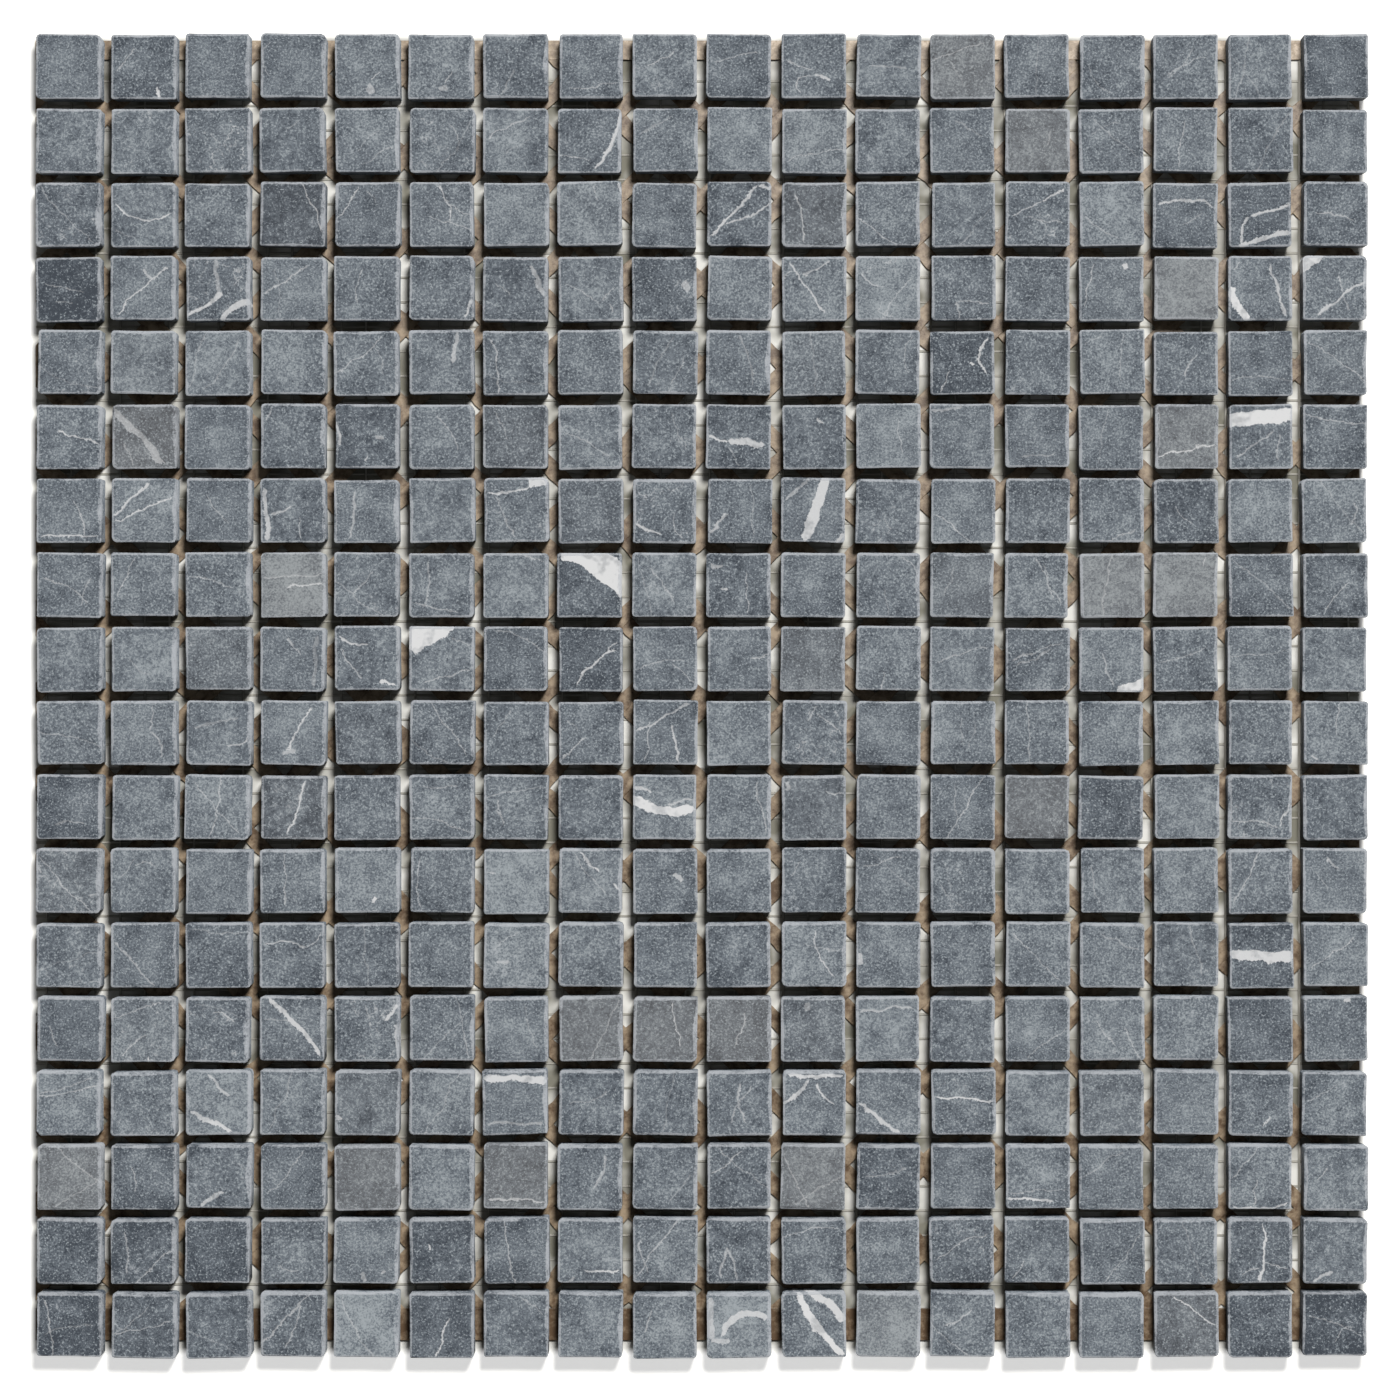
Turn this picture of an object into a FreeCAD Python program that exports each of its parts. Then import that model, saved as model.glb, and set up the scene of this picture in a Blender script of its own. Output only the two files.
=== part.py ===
import FreeCAD, Part
import os
import random
import Sketcher

# Mosaic tile sheet: 324 small tumbled stones laid in a square grid on a net backing.
# The sheet lies flat with its stones up. +Z is up, +Y is the top of the sheet as it is looked at,
# and the origin is under the middle of the sheet, at the level of the floor.
#
# From the floor up there are the threads of the net that run across, the threads that run up the
# sheet, two crossing layers of tan bands at 45 degrees, and the stones.

# Driving sizes, in millimetres, degrees and counts
SIZES = [
    ("columns", 18, "stones across the sheet"),
    ("rows", 18, "stones up the sheet"),
    ("stone_width", 14.8, "side of a stone before its corners wear"),
    ("stone_thickness", 8.0, "height of a stone"),
    ("small_stone_shortfall", 0.3, "how much narrower the small stones are"),
    ("joint_across", 2.15, "open joint between columns"),
    ("joint_along", 2.05, "open joint between rows"),
    ("edge_wear", 0.45, "bevel that tumbling leaves round the top of a stone"),
    ("corner_wear_light", 0.4, "cut of a crisp stone's corners"),
    ("corner_wear_even", 0.6, "cut of a common stone's corners"),
    ("corner_wear_deep", 1.0, "cut of a well tumbled stone's corners"),
    ("lay_scatter", 0.22, "farthest that a stone lies from its place in the grid"),
    ("lay_turn", 0.9, "largest angle that a stone is turned by"),
    ("thread_width", 0.45, "width of a flat thread of the net"),
    ("thread_thickness", 0.25, "thickness of a thread of the net"),
    ("thread_spacing", 5.63, "distance from thread to thread"),
    ("band_width", 5.0, "width of a tan band"),
    ("band_opening", 8.6, "clear distance between two tan bands"),
    ("band_thickness", 0.25, "thickness of one layer of bands"),
    ("band_angle", 45.0, "angle of the bands to the rows"),
    ("rising_band_shift", -0.76, "distance of the nearest rising band from the middle"),
    ("falling_band_shift", -1.46, "distance of the nearest falling band from the middle"),
    ("backing_beyond_left", 1.2, "backing that shows past the left column"),
    ("backing_inside_right", 0.8, "distance of the backing's cut inside the right column"),
    ("backing_inside_top", 2.0, "distance of the backing's cut inside the top row"),
    ("backing_inside_bottom", 2.4, "distance of the backing's cut inside the bottom row"),
]

LAY_SEED = 18
UP = FreeCAD.Vector(0, 0, 1)
SAME_LEVEL = 1e-4

# What follows from the driving sizes, as expressions that the objects are bound to
FIELD_WIDTH = "(Sizes.columns * Sizes.stone_width + (Sizes.columns - 1) * Sizes.joint_across)"
FIELD_LENGTH = "(Sizes.rows * Sizes.stone_width + (Sizes.rows - 1) * Sizes.joint_along)"
BACKING_WIDTH = FIELD_WIDTH + " + Sizes.backing_beyond_left - Sizes.backing_inside_right"
BACKING_LENGTH = FIELD_LENGTH + " - Sizes.backing_inside_top - Sizes.backing_inside_bottom"
BACKING_MIDDLE_X = "-Sizes.backing_inside_right / 2"
BACKING_MIDDLE_Y = "(Sizes.backing_inside_bottom - Sizes.backing_inside_top) / 2"
BAND_PITCH = "(Sizes.band_width + Sizes.band_opening)"
BACKING_DIAGONAL = "hypot(" + BACKING_WIDTH + "; " + BACKING_LENGTH + ")"
BANDS_EACH_SIDE = "ceil(" + BACKING_DIAGONAL + " / 2 / " + BAND_PITCH + ")"
NET_TOP = "2 * Sizes.thread_thickness"
BANDS_TOP = NET_TOP + " + 2 * Sizes.band_thickness"


def make_sheet(doc):
    """Write the driving sizes into a spreadsheet, one named cell each."""
    sheet = doc.addObject("Spreadsheet::Sheet", "Sizes")
    for row, (alias, value, meaning) in enumerate(SIZES, start=1):
        sheet.set(f"A{row}", alias)
        sheet.set(f"B{row}", str(value))
        sheet.set(f"C{row}", meaning)
        sheet.setAlias(f"B{row}", alias)
    doc.recompute()
    return sheet


def flat_plane(body):
    """Return a body's own horizontal plane."""
    return next(f for f in body.Origin.OriginFeatures if f.Role == "XY_Plane")


def pad_rectangle(body, across, along, height):
    """Sketch a rectangle about the body's origin and raise it; the sizes are expressions."""
    sketch = body.newObject("Sketcher::SketchObject", body.Name + "_outline")
    sketch.AttachmentSupport = [(flat_plane(body), "")]
    sketch.MapMode = "FlatFace"
    corners = [FreeCAD.Vector(x, y, 0) for x, y in ((-1, -1), (1, -1), (1, 1), (-1, 1))]
    for start, end in zip(corners, corners[1:] + corners[:1]):
        sketch.addGeometry(Part.LineSegment(start, end), False)
    for side in range(4):
        sketch.addConstraint(Sketcher.Constraint("Coincident", side, 2, (side + 1) % 4, 1))
    for side, direction in enumerate(("Horizontal", "Vertical", "Horizontal", "Vertical")):
        sketch.addConstraint(Sketcher.Constraint(direction, side))
    sketch.addConstraint(Sketcher.Constraint("Symmetric", 0, 1, 1, 2, -1, 1))
    for name, side, size in (("across", 0, across), ("along", 1, along)):
        kind = "DistanceX" if name == "across" else "DistanceY"
        index = sketch.addConstraint(Sketcher.Constraint(kind, side, 1, side, 2, 2.0))
        sketch.renameConstraint(index, name)
        sketch.setExpression("Constraints." + name, size)
    pad = body.newObject("PartDesign::Pad", body.Name + "_pad")
    pad.Profile = sketch
    pad.setExpression("Length", height)
    body.Document.recompute()
    return sketch, pad


def bevel(body, name, base, edges, size):
    """Cut a flat bevel of the given size along some edges of a feature."""
    chamfer = body.newObject("PartDesign::Chamfer", body.Name + name)
    chamfer.Base = (base, edges)
    chamfer.setExpression("Size", size)
    body.Tip = chamfer
    body.Document.recompute()
    return chamfer


def upright_edges(shape, corners):
    """Name the vertical edges of a block that stand at the given corners."""
    names = []
    for number, edge in enumerate(shape.Edges, start=1):
        middle = edge.CenterOfMass
        upright = edge.BoundBox.ZLength > edge.BoundBox.DiagonalLength / 2
        if upright and (middle.x > 0, middle.y > 0) in corners:
            names.append(f"Edge{number}")
    return names


def top_edges(shape):
    """Name the edges that run round the top face of a block."""
    top = shape.BoundBox.ZMax - SAME_LEVEL
    edges = enumerate(shape.Edges, start=1)
    return [f"Edge{number}" for number, edge in edges if edge.BoundBox.ZMin > top]


def make_stone(doc, name, across, worn_corners, corner_wear):
    """Model one shape of tumbled stone: a block with worn corners and a worn top edge."""
    body = doc.addObject("PartDesign::Body", name)
    last = pad_rectangle(body, across, "Sizes.stone_width", "Sizes.stone_thickness")[1]
    last = bevel(body, "_corners", last, upright_edges(last.Shape, worn_corners), corner_wear)
    bevel(body, "_top", last, top_edges(last.Shape), "Sizes.edge_wear")
    return body


def make_stones(doc):
    """Model the four shapes of stone that the sheet is laid from."""
    all_four = [(True, True), (True, False), (False, True), (False, False)]
    full_width = "Sizes.stone_width"
    small_width = "Sizes.stone_width - Sizes.small_stone_shortfall"
    return [
        make_stone(doc, "stone_common", full_width, all_four, "Sizes.corner_wear_even"),
        make_stone(doc, "stone_tumbled", full_width, all_four[:3], "Sizes.corner_wear_deep"),
        make_stone(doc, "stone_small", small_width, all_four[1:], "Sizes.corner_wear_even"),
        make_stone(doc, "stone_crisp", full_width, all_four[:2], "Sizes.corner_wear_light"),
    ]


def lay_row(doc, sheet, row, stones, chance):
    """Lay one row of stones on the bands, each a little off its place and turned as it fell."""
    pitch_x = sheet.stone_width + sheet.joint_across
    pitch_y = sheet.stone_width + sheet.joint_along
    left = sheet.backing_beyond_left / 2 - (sheet.columns - 1) / 2 * pitch_x
    top = (sheet.rows - 1) / 2 * pitch_y
    bands_top = 2 * sheet.thread_thickness + 2 * sheet.band_thickness
    laid = []
    for column in range(sheet.columns):
        stone = doc.addObject("App::Link", f"stone_{row + 1:02d}_{column + 1:02d}")
        stone.LinkedObject = chance.choice(stones)
        x = left + column * pitch_x + chance.uniform(-1, 1) * sheet.lay_scatter
        y = top - row * pitch_y + chance.uniform(-1, 1) * sheet.lay_scatter
        angle = 90 * chance.randrange(4) + chance.uniform(-1, 1) * sheet.lay_turn
        turn = FreeCAD.Rotation(UP, angle)
        stone.Placement = FreeCAD.Placement(FreeCAD.Vector(x, y, bands_top), turn)
        laid.append(stone)
    name = f"tile_row_{row + 1:02d}"
    node = doc.addObject("Part::Compound", name)
    node.Label = name
    node.Links = laid
    return node


def make_threads(doc, name, across, along, reach, axis, level):
    """Model one set of the net's threads: a thread repeated side by side over the backing."""
    body = doc.addObject("PartDesign::Body", name)
    body.Label = name
    body.AllowCompound = True
    sketch, pad = pad_rectangle(body, across, along, "Sizes.thread_thickness")
    spaces = "floor((" + reach + " - Sizes.thread_width) / Sizes.thread_spacing)"
    pattern = body.newObject("PartDesign::LinearPattern", name + "_repeat")
    pattern.Originals = [pad]
    pattern.Direction = (sketch, ["V_Axis" if axis == "y" else "H_Axis"])
    pattern.Mode = "Spacing"
    pattern.setExpression("Offset", "Sizes.thread_spacing")
    pattern.setExpression("Occurrences", spaces + " + 1")
    body.Tip = pattern
    middle = {"x": BACKING_MIDDLE_X, "y": BACKING_MIDDLE_Y}
    middle[axis] += " - " + spaces + " * Sizes.thread_spacing / 2"
    body.setExpression("Placement.Base.x", middle["x"])
    body.setExpression("Placement.Base.y", middle["y"])
    body.setExpression("Placement.Base.z", level)
    return body


def make_backing_cut(doc):
    """Model the block that the bands are cut to: the outline of the backing, through both layers."""
    block = doc.addObject("Part::Box", "backing_outline")
    block.setExpression("Length", BACKING_WIDTH)
    block.setExpression("Width", BACKING_LENGTH)
    block.setExpression("Height", BANDS_TOP)
    block.setExpression("Placement.Base.x", BACKING_MIDDLE_X + " - (" + BACKING_WIDTH + ") / 2")
    block.setExpression("Placement.Base.y", BACKING_MIDDLE_Y + " - (" + BACKING_LENGTH + ") / 2")
    return block


def make_bands(doc, name, outline, side, shift, level):
    """Model one layer of bands: long strips at an angle, cut to the outline of the backing."""
    strips = doc.addObject("PartDesign::Body", name + "_strips")
    strips.AllowCompound = True
    sketch, pad = pad_rectangle(strips, BACKING_DIAGONAL, "Sizes.band_width", "Sizes.band_thickness")
    pattern = strips.newObject("PartDesign::LinearPattern", name + "_repeat")
    pattern.Originals = [pad]
    pattern.Direction = (sketch, ["V_Axis"])
    pattern.Mode = "Spacing"
    pattern.setExpression("Offset", BAND_PITCH)
    pattern.setExpression("Occurrences", "2 * " + BANDS_EACH_SIDE + " + 1")
    strips.Tip = pattern
    start = "(" + shift + " - " + BANDS_EACH_SIDE + " * " + BAND_PITCH + ")"
    strips.setExpression("Placement.Rotation.Angle", f"{side} * Sizes.band_angle")
    strips.setExpression("Placement.Base.x", f"{-side} * sin(Sizes.band_angle) * " + start)
    strips.setExpression("Placement.Base.y", "cos(Sizes.band_angle) * " + start)
    strips.setExpression("Placement.Base.z", level)
    bands = doc.addObject("Part::Common", name)
    bands.Label = name
    bands.Base = strips
    bands.Tool = outline
    return bands


def make_backing(doc):
    """Model the net and the bands that carry the stones."""
    outline = make_backing_cut(doc)
    thread = "Sizes.thread_width"
    first_bands_top = NET_TOP + " + Sizes.band_thickness"
    return [
        make_threads(doc, "net_weft", BACKING_WIDTH, thread, BACKING_LENGTH, "y", "0"),
        make_threads(
            doc, "net_warp", thread, BACKING_LENGTH, BACKING_WIDTH, "x", "Sizes.thread_thickness"
        ),
        make_bands(doc, "bands_lower", outline, -1, "Sizes.falling_band_shift", NET_TOP),
        make_bands(doc, "bands_upper", outline, 1, "Sizes.rising_band_shift", first_bands_top),
    ]


def check_features(doc):
    """Stop if any object of the document failed to build."""
    for item in doc.Objects:
        if "Invalid" in item.State or "Error" in item.State:
            raise RuntimeError(f"{item.Name} failed: {item.State}")


def write_nodes(nodes):
    """Check each sub-part's solids and write its STEP file."""
    os.makedirs("parts", exist_ok=True)
    for node in nodes:
        if node.Shape.isNull() or not node.Shape.isValid() or not node.Shape.Solids:
            raise RuntimeError(f"{node.Label} has no valid solid")
    for node in nodes:
        node.Shape.exportStep(f"parts/{node.Label}.step")
        print(node.Label, len(node.Shape.Solids), "solids", round(node.Shape.Volume, 1), "mm3")


def main():
    doc = FreeCAD.newDocument("mosaic_tile_sheet")
    sheet = make_sheet(doc)
    stones = make_stones(doc)
    chance = random.Random(LAY_SEED)
    nodes = [lay_row(doc, sheet, row, stones, chance) for row in range(sheet.rows)]
    nodes += make_backing(doc)
    doc.recompute()
    check_features(doc)
    write_nodes(nodes)


main()
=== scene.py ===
"""Mosaic tile sheet: the finish of its stones, its net and its bands, and a plain stage.

The file is laid out as an add-on. Run as a script it dresses the loaded frame.
Objects are in metres. The stones' attributes, and the sizes of their patterns, are in millimetres.
"""

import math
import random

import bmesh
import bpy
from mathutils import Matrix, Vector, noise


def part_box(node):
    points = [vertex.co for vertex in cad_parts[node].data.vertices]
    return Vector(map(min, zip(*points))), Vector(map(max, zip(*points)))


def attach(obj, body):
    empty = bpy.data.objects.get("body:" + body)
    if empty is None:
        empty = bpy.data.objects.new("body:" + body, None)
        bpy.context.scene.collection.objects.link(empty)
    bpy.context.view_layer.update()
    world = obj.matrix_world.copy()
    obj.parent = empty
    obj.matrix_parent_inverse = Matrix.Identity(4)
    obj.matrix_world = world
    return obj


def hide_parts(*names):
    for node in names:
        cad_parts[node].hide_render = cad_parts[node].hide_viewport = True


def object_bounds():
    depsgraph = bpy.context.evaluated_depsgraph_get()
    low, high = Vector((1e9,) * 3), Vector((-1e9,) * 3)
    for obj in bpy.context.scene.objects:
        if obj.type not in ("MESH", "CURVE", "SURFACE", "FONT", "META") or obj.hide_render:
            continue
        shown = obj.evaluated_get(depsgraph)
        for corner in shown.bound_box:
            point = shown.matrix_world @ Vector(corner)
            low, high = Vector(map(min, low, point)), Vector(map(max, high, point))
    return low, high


bl_info = {
    "name": "Mosaic Tile Sheet",
    "version": (1, 0, 0),
    "blender": (4, 5, 0),
    "location": "3D View > Sidebar > Mosaic",
    "description": "Dresses a sheet of tumbled stone mosaic on its net backing",
    "category": "Object",
}

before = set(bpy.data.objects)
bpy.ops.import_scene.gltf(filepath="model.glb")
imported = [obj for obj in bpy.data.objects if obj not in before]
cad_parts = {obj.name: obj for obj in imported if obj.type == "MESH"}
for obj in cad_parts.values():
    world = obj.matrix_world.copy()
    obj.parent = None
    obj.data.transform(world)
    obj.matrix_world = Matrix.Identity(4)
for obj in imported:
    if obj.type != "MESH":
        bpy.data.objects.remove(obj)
CAD_LOW, CAD_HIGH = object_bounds()

MM = 0.001
ROWS = sorted(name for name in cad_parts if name.startswith("tile_row_"))
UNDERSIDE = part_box(ROWS[0])[0].z
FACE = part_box(ROWS[0])[1].z


def from_hex(code):
    """Turn an sRGB hex colour into linear red, green and blue."""
    parts = [int(code[place : place + 2], 16) / 255 for place in (1, 3, 5)]
    return tuple(v / 12.92 if v <= 0.04045 else ((v + 0.055) / 1.055) ** 2.4 for v in parts)


def opaque(rgb):
    """Give a colour its alpha."""
    return (*rgb, 1)


def length(name, default_mm, description):
    """Make a length property whose default is given in millimetres."""
    return bpy.props.FloatProperty(
        name=name, description=description, default=default_mm * MM, subtype="DISTANCE", precision=5
    )


def angle(name, default_degrees, description):
    """Make an angle property whose default is given in degrees."""
    return bpy.props.FloatProperty(
        name=name, description=description, default=math.radians(default_degrees), subtype="ANGLE"
    )


def share(name, default, description):
    """Make a property that is a share from none to all."""
    return bpy.props.FloatProperty(
        name=name, description=description, default=default, min=0, max=1, subtype="FACTOR"
    )


def colour(name, code, description):
    """Make a colour property from an sRGB hex value."""
    linear = from_hex(code)
    return bpy.props.FloatVectorProperty(
        name=name, description=description, default=linear, size=3, subtype="COLOR", min=0, max=1
    )


class StoneSizes(bpy.types.PropertyGroup):
    """How the stones are worn, and their colours."""

    edge_radius: length("Edge radius", 0.42, "Rounding of the worn edge round a stone's face")
    corner_radius: length("Corner radius", 0.35, "Least rounding of a stone's upright corners")
    skew: length("Skew", 0.22, "Most that a corner falls short of a true square")
    lit_edge: share("Right edge", 0.8, "How much wider the wear is at a stone's right edge")
    side_bow: length("Side bow", 0.1, "How far tumbling has eaten into a stone's sides")
    face_wave: length("Face wave", 0.06, "Depth of the shallow hollows along a face's rim")
    chip_depth: length("Chip depth", 0.5, "Depth of the larger chips at corners and edges")
    chip_share: share("Chipped stones", 0.4, "Share of the stones that have a larger chip")
    vein_share: share("Veined stones", 0.6, "Share of the plain stones that fine veins cross")
    seed: bpy.props.IntProperty(name="Seed", description="Seed of the wear and the veins", default=7)
    ground: colour("Ground", "#7d858d", "Blue-grey of the marble")
    dark: colour("Dark grain", "#4a515a", "Dark grain and clay films in the marble")
    light: colour("Light grain", "#b0b7bb", "Pale crystals and fine scratches")
    # Pale of the bruised edges, also used for the painted highlight on the edges that face the lamp
    worn: colour("Worn edge", "#bfc2c6", "Bruised, powdery stone along the edges")
    vein: colour("Vein", "#e6e6e6", "White calcite of the veins")
    warm: colour("Warm stone", "#9a938b", "Brownish tone that a few stones lean to")


class BackingSizes(bpy.types.PropertyGroup):
    """How far the net and the bands reach, their sizes, and their colours."""

    top: length("Top edge", 150.2, "Where the backing ends towards the sheet's top")
    bottom: length("Bottom edge", -147.6, "Where the backing ends towards the sheet's bottom")
    thread_spacing: length("Thread spacing", 5.63, "From one thread of the net to the next")
    thread_width: length("Thread width", 0.55, "Width of a coated thread at its foot")
    thread_rounding: length("Thread rounding", 0.2, "Rounding of a thread's upper edges")
    band_width: length("Band width", 3.6, "Width of a band of adhesive")
    band_rounding: length("Band rounding", 0.1, "Rounding of a band's upper edges")
    band_wave: length("Band wave", 0.5, "How far a band's sides stray as the adhesive spread")
    wave_length: length("Wave length", 4, "Size of the wandering in a band's sides")
    rising_turn: angle("Rising turn", 45, "Angle of the rising bands to the rows")
    rising_spacing: length("Rising spacing", 13.75, "From one rising band's middle to the next")
    rising_shift: length("Rising shift", -2.34, "How far above the origin a rising band passes")
    falling_turn: angle("Falling turn", -44.5, "Angle of the falling bands to the rows")
    falling_spacing: length("Falling spacing", 13.55, "From one falling band's middle to the next")
    falling_shift: length("Falling shift", -0.02, "How far above the origin a falling band passes")
    top_strip: length("Top strip", 4.4, "Width of the adhesive along the backing's top edge")
    bottom_strip: length("Bottom strip", 7.3, "Width of the adhesive along the bottom edge")
    # The bottom strip is drawn darker brown
    bottom_strip_darkening: share("Depth of the bottom strip", 0.3, "How brown its thicker adhesive looks")
    # Painted light: the top strip is drawn paler, where the lamp falls on the backing past the top row
    top_strip_painted_light: share("Thinness of the top strip", 0.25, "How pale its thin adhesive looks")
    thread: colour("Thread", "#b3afa4", "Off-white coated glass-fibre thread")
    # Painted shade along a thread's foot, where it meets what lies below
    thread_foot_shade: colour("Foot of a thread", "#6b665b", "Dirt that gathers along a thread's foot")
    # Pale tan, used only to draw the painted light on the top strip
    band_painted_light: colour("Thin band", "#d3bfa7", "Pale tan where the adhesive is thin")
    band: colour("Band", "#a89378", "Tan dried adhesive")
    band_dark: colour("Thick band", "#5f472d", "Brown where the adhesive is thicker")


class StageSizes(bpy.types.PropertyGroup):
    """The floor, the lights and the camera."""

    floor_side: length("Floor side", 6000, "Side of the square floor")
    floor: colour("Floor", "#f0eee7", "White paper that the sheet lies on")
    # The rim and its fade also draw a painted shadow on the paper just past the backing
    dust_and_shadow_rim: length("Rim of dust", 0.65, "How far the dust reaches past the backing")
    dust_and_shadow_fade: length("Fade of the dust", 0.9, "How far the dust fades to either side of its edge")
    # Grey of the dusty paper under the sheet, which also draws the painted shadow past the backing
    floor_dull: colour("Dull floor", "#8a877a", "Grey of the paper where dust lies under the sheet")
    lamp_right: length("Lamp to the right", 155, "How far the lamp stands to the sheet's right")
    lamp_up: length("Lamp towards the top", 440, "How far the lamp stands towards the sheet's top")
    lamp_height: length("Lamp height", 1109, "Height of the lamp over the floor")
    lamp_radius: length("Lamp radius", 110, "Radius of the lamp, which softens the shadows")
    lamp_share: share("Lamp share", 0.9, "Brightness that the lamp gives a white face under it")
    sky_share: share("Sky share", 0.07, "Brightness that the even light from all round gives")
    floor_glow: share("Floor glow", 0.6, "What the camera sees added to the floor outside the sheet")
    camera_right: length("Camera to the right", 0.17, "How far the camera stands to the sheet's right")
    camera_up: length("Camera towards the top", -0.9, "How far the camera stands towards the top")
    camera_height: length("Camera height", 1100, "Height of the camera over the floor")
    view_width: length("View width", 318.45, "Width that the picture takes in at the stones' faces")


def connect(tree, node, sockets):
    """Set or link a node's inputs, which are given by name or number.

    Each goes with a value, with an output, or with a node, which stands for its first output.
    """
    for key, value in sockets.items():
        if isinstance(value, bpy.types.Node):
            value = value.outputs[0]
        if isinstance(value, bpy.types.NodeSocket):
            tree.links.new(value, node.inputs[key])
        else:
            node.inputs[key].default_value = value


def add_node(tree, kind, sockets=None, **settings):
    """Add a shader node with its settings, and connect its inputs."""
    made = tree.nodes.new("ShaderNode" + kind)
    for name, value in settings.items():
        setattr(made, name, value)
    connect(tree, made, sockets or {})
    return made


# Sockets of a Mix node that mixes colours: the two colours, and the outcome
FIRST, SECOND, MIXED = 6, 7, 2

WHITE = (1, 1, 1, 1)


def new_material(name):
    """Start a node material and return it with its tree and its shader."""
    material = bpy.data.materials.new(name)
    material.use_nodes = True
    tree = material.node_tree
    return material, tree, tree.nodes["Principled BSDF"]


def put_in_scene(mesh, name, material):
    """Make an object with one material from a finished shape."""
    made = bpy.data.meshes.new(name)
    mesh.to_mesh(made)
    mesh.free()
    made.materials.append(material)
    piece = bpy.data.objects.new(name, made)
    bpy.context.scene.collection.objects.link(piece)
    return piece


def cut_off(mesh, verts, spot, way):
    """Cut off what lies past a plane, close the cut, and return its points and its edges."""
    edges = {edge for vert in verts for edge in vert.link_edges}
    faces = {face for vert in verts for face in vert.link_faces}
    cut = bmesh.ops.bisect_plane(
        mesh, geom=[*verts, *edges, *faces], plane_co=spot, plane_no=way, clear_outer=True
    )["geom_cut"]
    rim = [item for item in cut if isinstance(item, bmesh.types.BMEdge)]
    if rim:
        bmesh.ops.edgeloop_fill(mesh, edges=rim)
    return [item for item in cut if isinstance(item, bmesh.types.BMVert)], rim


# Sizes of the marble's patterns, in millimetres. Its real grain, about 0.1 mm, is too fine to show
# in the picture, so it is drawn five times as coarse
CLOUD_SIZE = 7
GRAIN_SIZE = 0.5
FLOW_SIZE = 5

# How strongly the clouds and the grain vary the marble's tone, and the bruises along its edges
TONE_CONTRAST = (1.4, 1.6)
BRUISE_CONTRAST = (2.2, 1.0)
AVERAGE_TONE = 0.5

# How many veins a stone can have. In millimetres, how far they wander and fray, how wide the hair
# veins of a web are, and how softly a vein's edges fade. The bluntness is how soon a vein has its
# full width from either end
VEINS = 3
VEIN_WANDER = 3.2
VEIN_FRAY = 0.35
WEB_WIDTH = 0.05
VEIN_EDGE = 0.15
VEIN_BLUNTNESS = 3.5


def vein_shown(tree, number, bend, ragged, strength, shortness):
    """Draw one vein, which tapers to both ends, and return how strongly it shows.

    Its attribute gives the place along the vein, from -1 to 1, the place across it in millimetres,
    how far the vein bows, and in the alpha its half width.
    """
    line = add_node(tree, "Attribute", attribute_name=f"vein_{number}")
    along, across, bow = add_node(tree, "SeparateXYZ", {0: line.outputs["Vector"]}).outputs
    along = add_node(tree, "Math", {0: bend[0], 1: shortness, 2: along}, operation="MULTIPLY_ADD")
    square = add_node(tree, "Math", {0: along, 1: along}, operation="MULTIPLY")
    taper = add_node(tree, "Math", {0: 1.0, 1: square}, operation="SUBTRACT")
    off = add_node(tree, "Math", {0: taper, 1: bow, 2: across}, operation="MULTIPLY_ADD")
    for stray in (bend[1], ragged):
        off = add_node(tree, "Math", {0: off, 1: stray}, operation="ADD")
    off = add_node(tree, "Math", {0: off}, operation="ABSOLUTE")
    blunt = {0: taper, 1: VEIN_BLUNTNESS}
    blunt = add_node(tree, "Math", blunt, operation="MULTIPLY", use_clamp=True)
    room = add_node(tree, "Math", {0: blunt, 1: line.outputs["Alpha"]}, operation="MULTIPLY")
    shown = add_node(tree, "Math", {0: room, 1: off}, operation="SUBTRACT")
    shown = {0: shown, 1: 1 / VEIN_EDGE}
    shown = add_node(tree, "Math", shown, operation="MULTIPLY", use_clamp=True)
    return add_node(tree, "Math", {0: shown, 1: strength}, operation="MULTIPLY")


def veins_shown(tree, cloud, fine, flow, web):
    """Draw a stone's veins and its web of hair veins, and return how strongly they show."""
    middle = (0.5, 0.5, 0.5)
    bend = add_node(tree, "VectorMath", {0: flow.outputs["Color"], 1: middle}, operation="SUBTRACT")
    bend = add_node(tree, "VectorMath", {0: bend, 3: VEIN_WANDER}, operation="SCALE")
    bend = add_node(tree, "SeparateXYZ", {0: bend}).outputs
    most = add_node(tree, "Math", {0: bend[2]}, operation="ABSOLUTE")
    most = add_node(tree, "MapRange", {"Value": most, "From Min": WEB_WIDTH, "From Max": 0.0})
    patch = add_node(tree, "MapRange", {"Value": cloud, "From Min": 0.5, "From Max": 0.6})
    for factor in (web, patch):
        most = add_node(tree, "Math", {0: most, 1: factor}, operation="MULTIPLY")

    strength, shortness = (
        add_node(
            tree,
            "SeparateXYZ",
            {0: add_node(tree, "Attribute", attribute_name=name).outputs["Vector"]},
        ).outputs
        for name in ("vein_strength", "vein_shortness")
    )
    ragged = {0: fine, 1: 2 * VEIN_FRAY, 2: -VEIN_FRAY}
    ragged = add_node(tree, "Math", ragged, operation="MULTIPLY_ADD")
    for number in range(VEINS):
        shown = vein_shown(tree, number, bend, ragged, strength[number], shortness[number])
        most = add_node(tree, "Math", {0: most, 1: shown}, operation="MAXIMUM")
    broken = {"Value": cloud, "From Min": 0.4, "From Max": 0.5, "To Min": 0.7}
    broken = add_node(tree, "MapRange", broken)
    return add_node(tree, "Math", {0: most, 1: broken}, operation="MULTIPLY")


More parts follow.
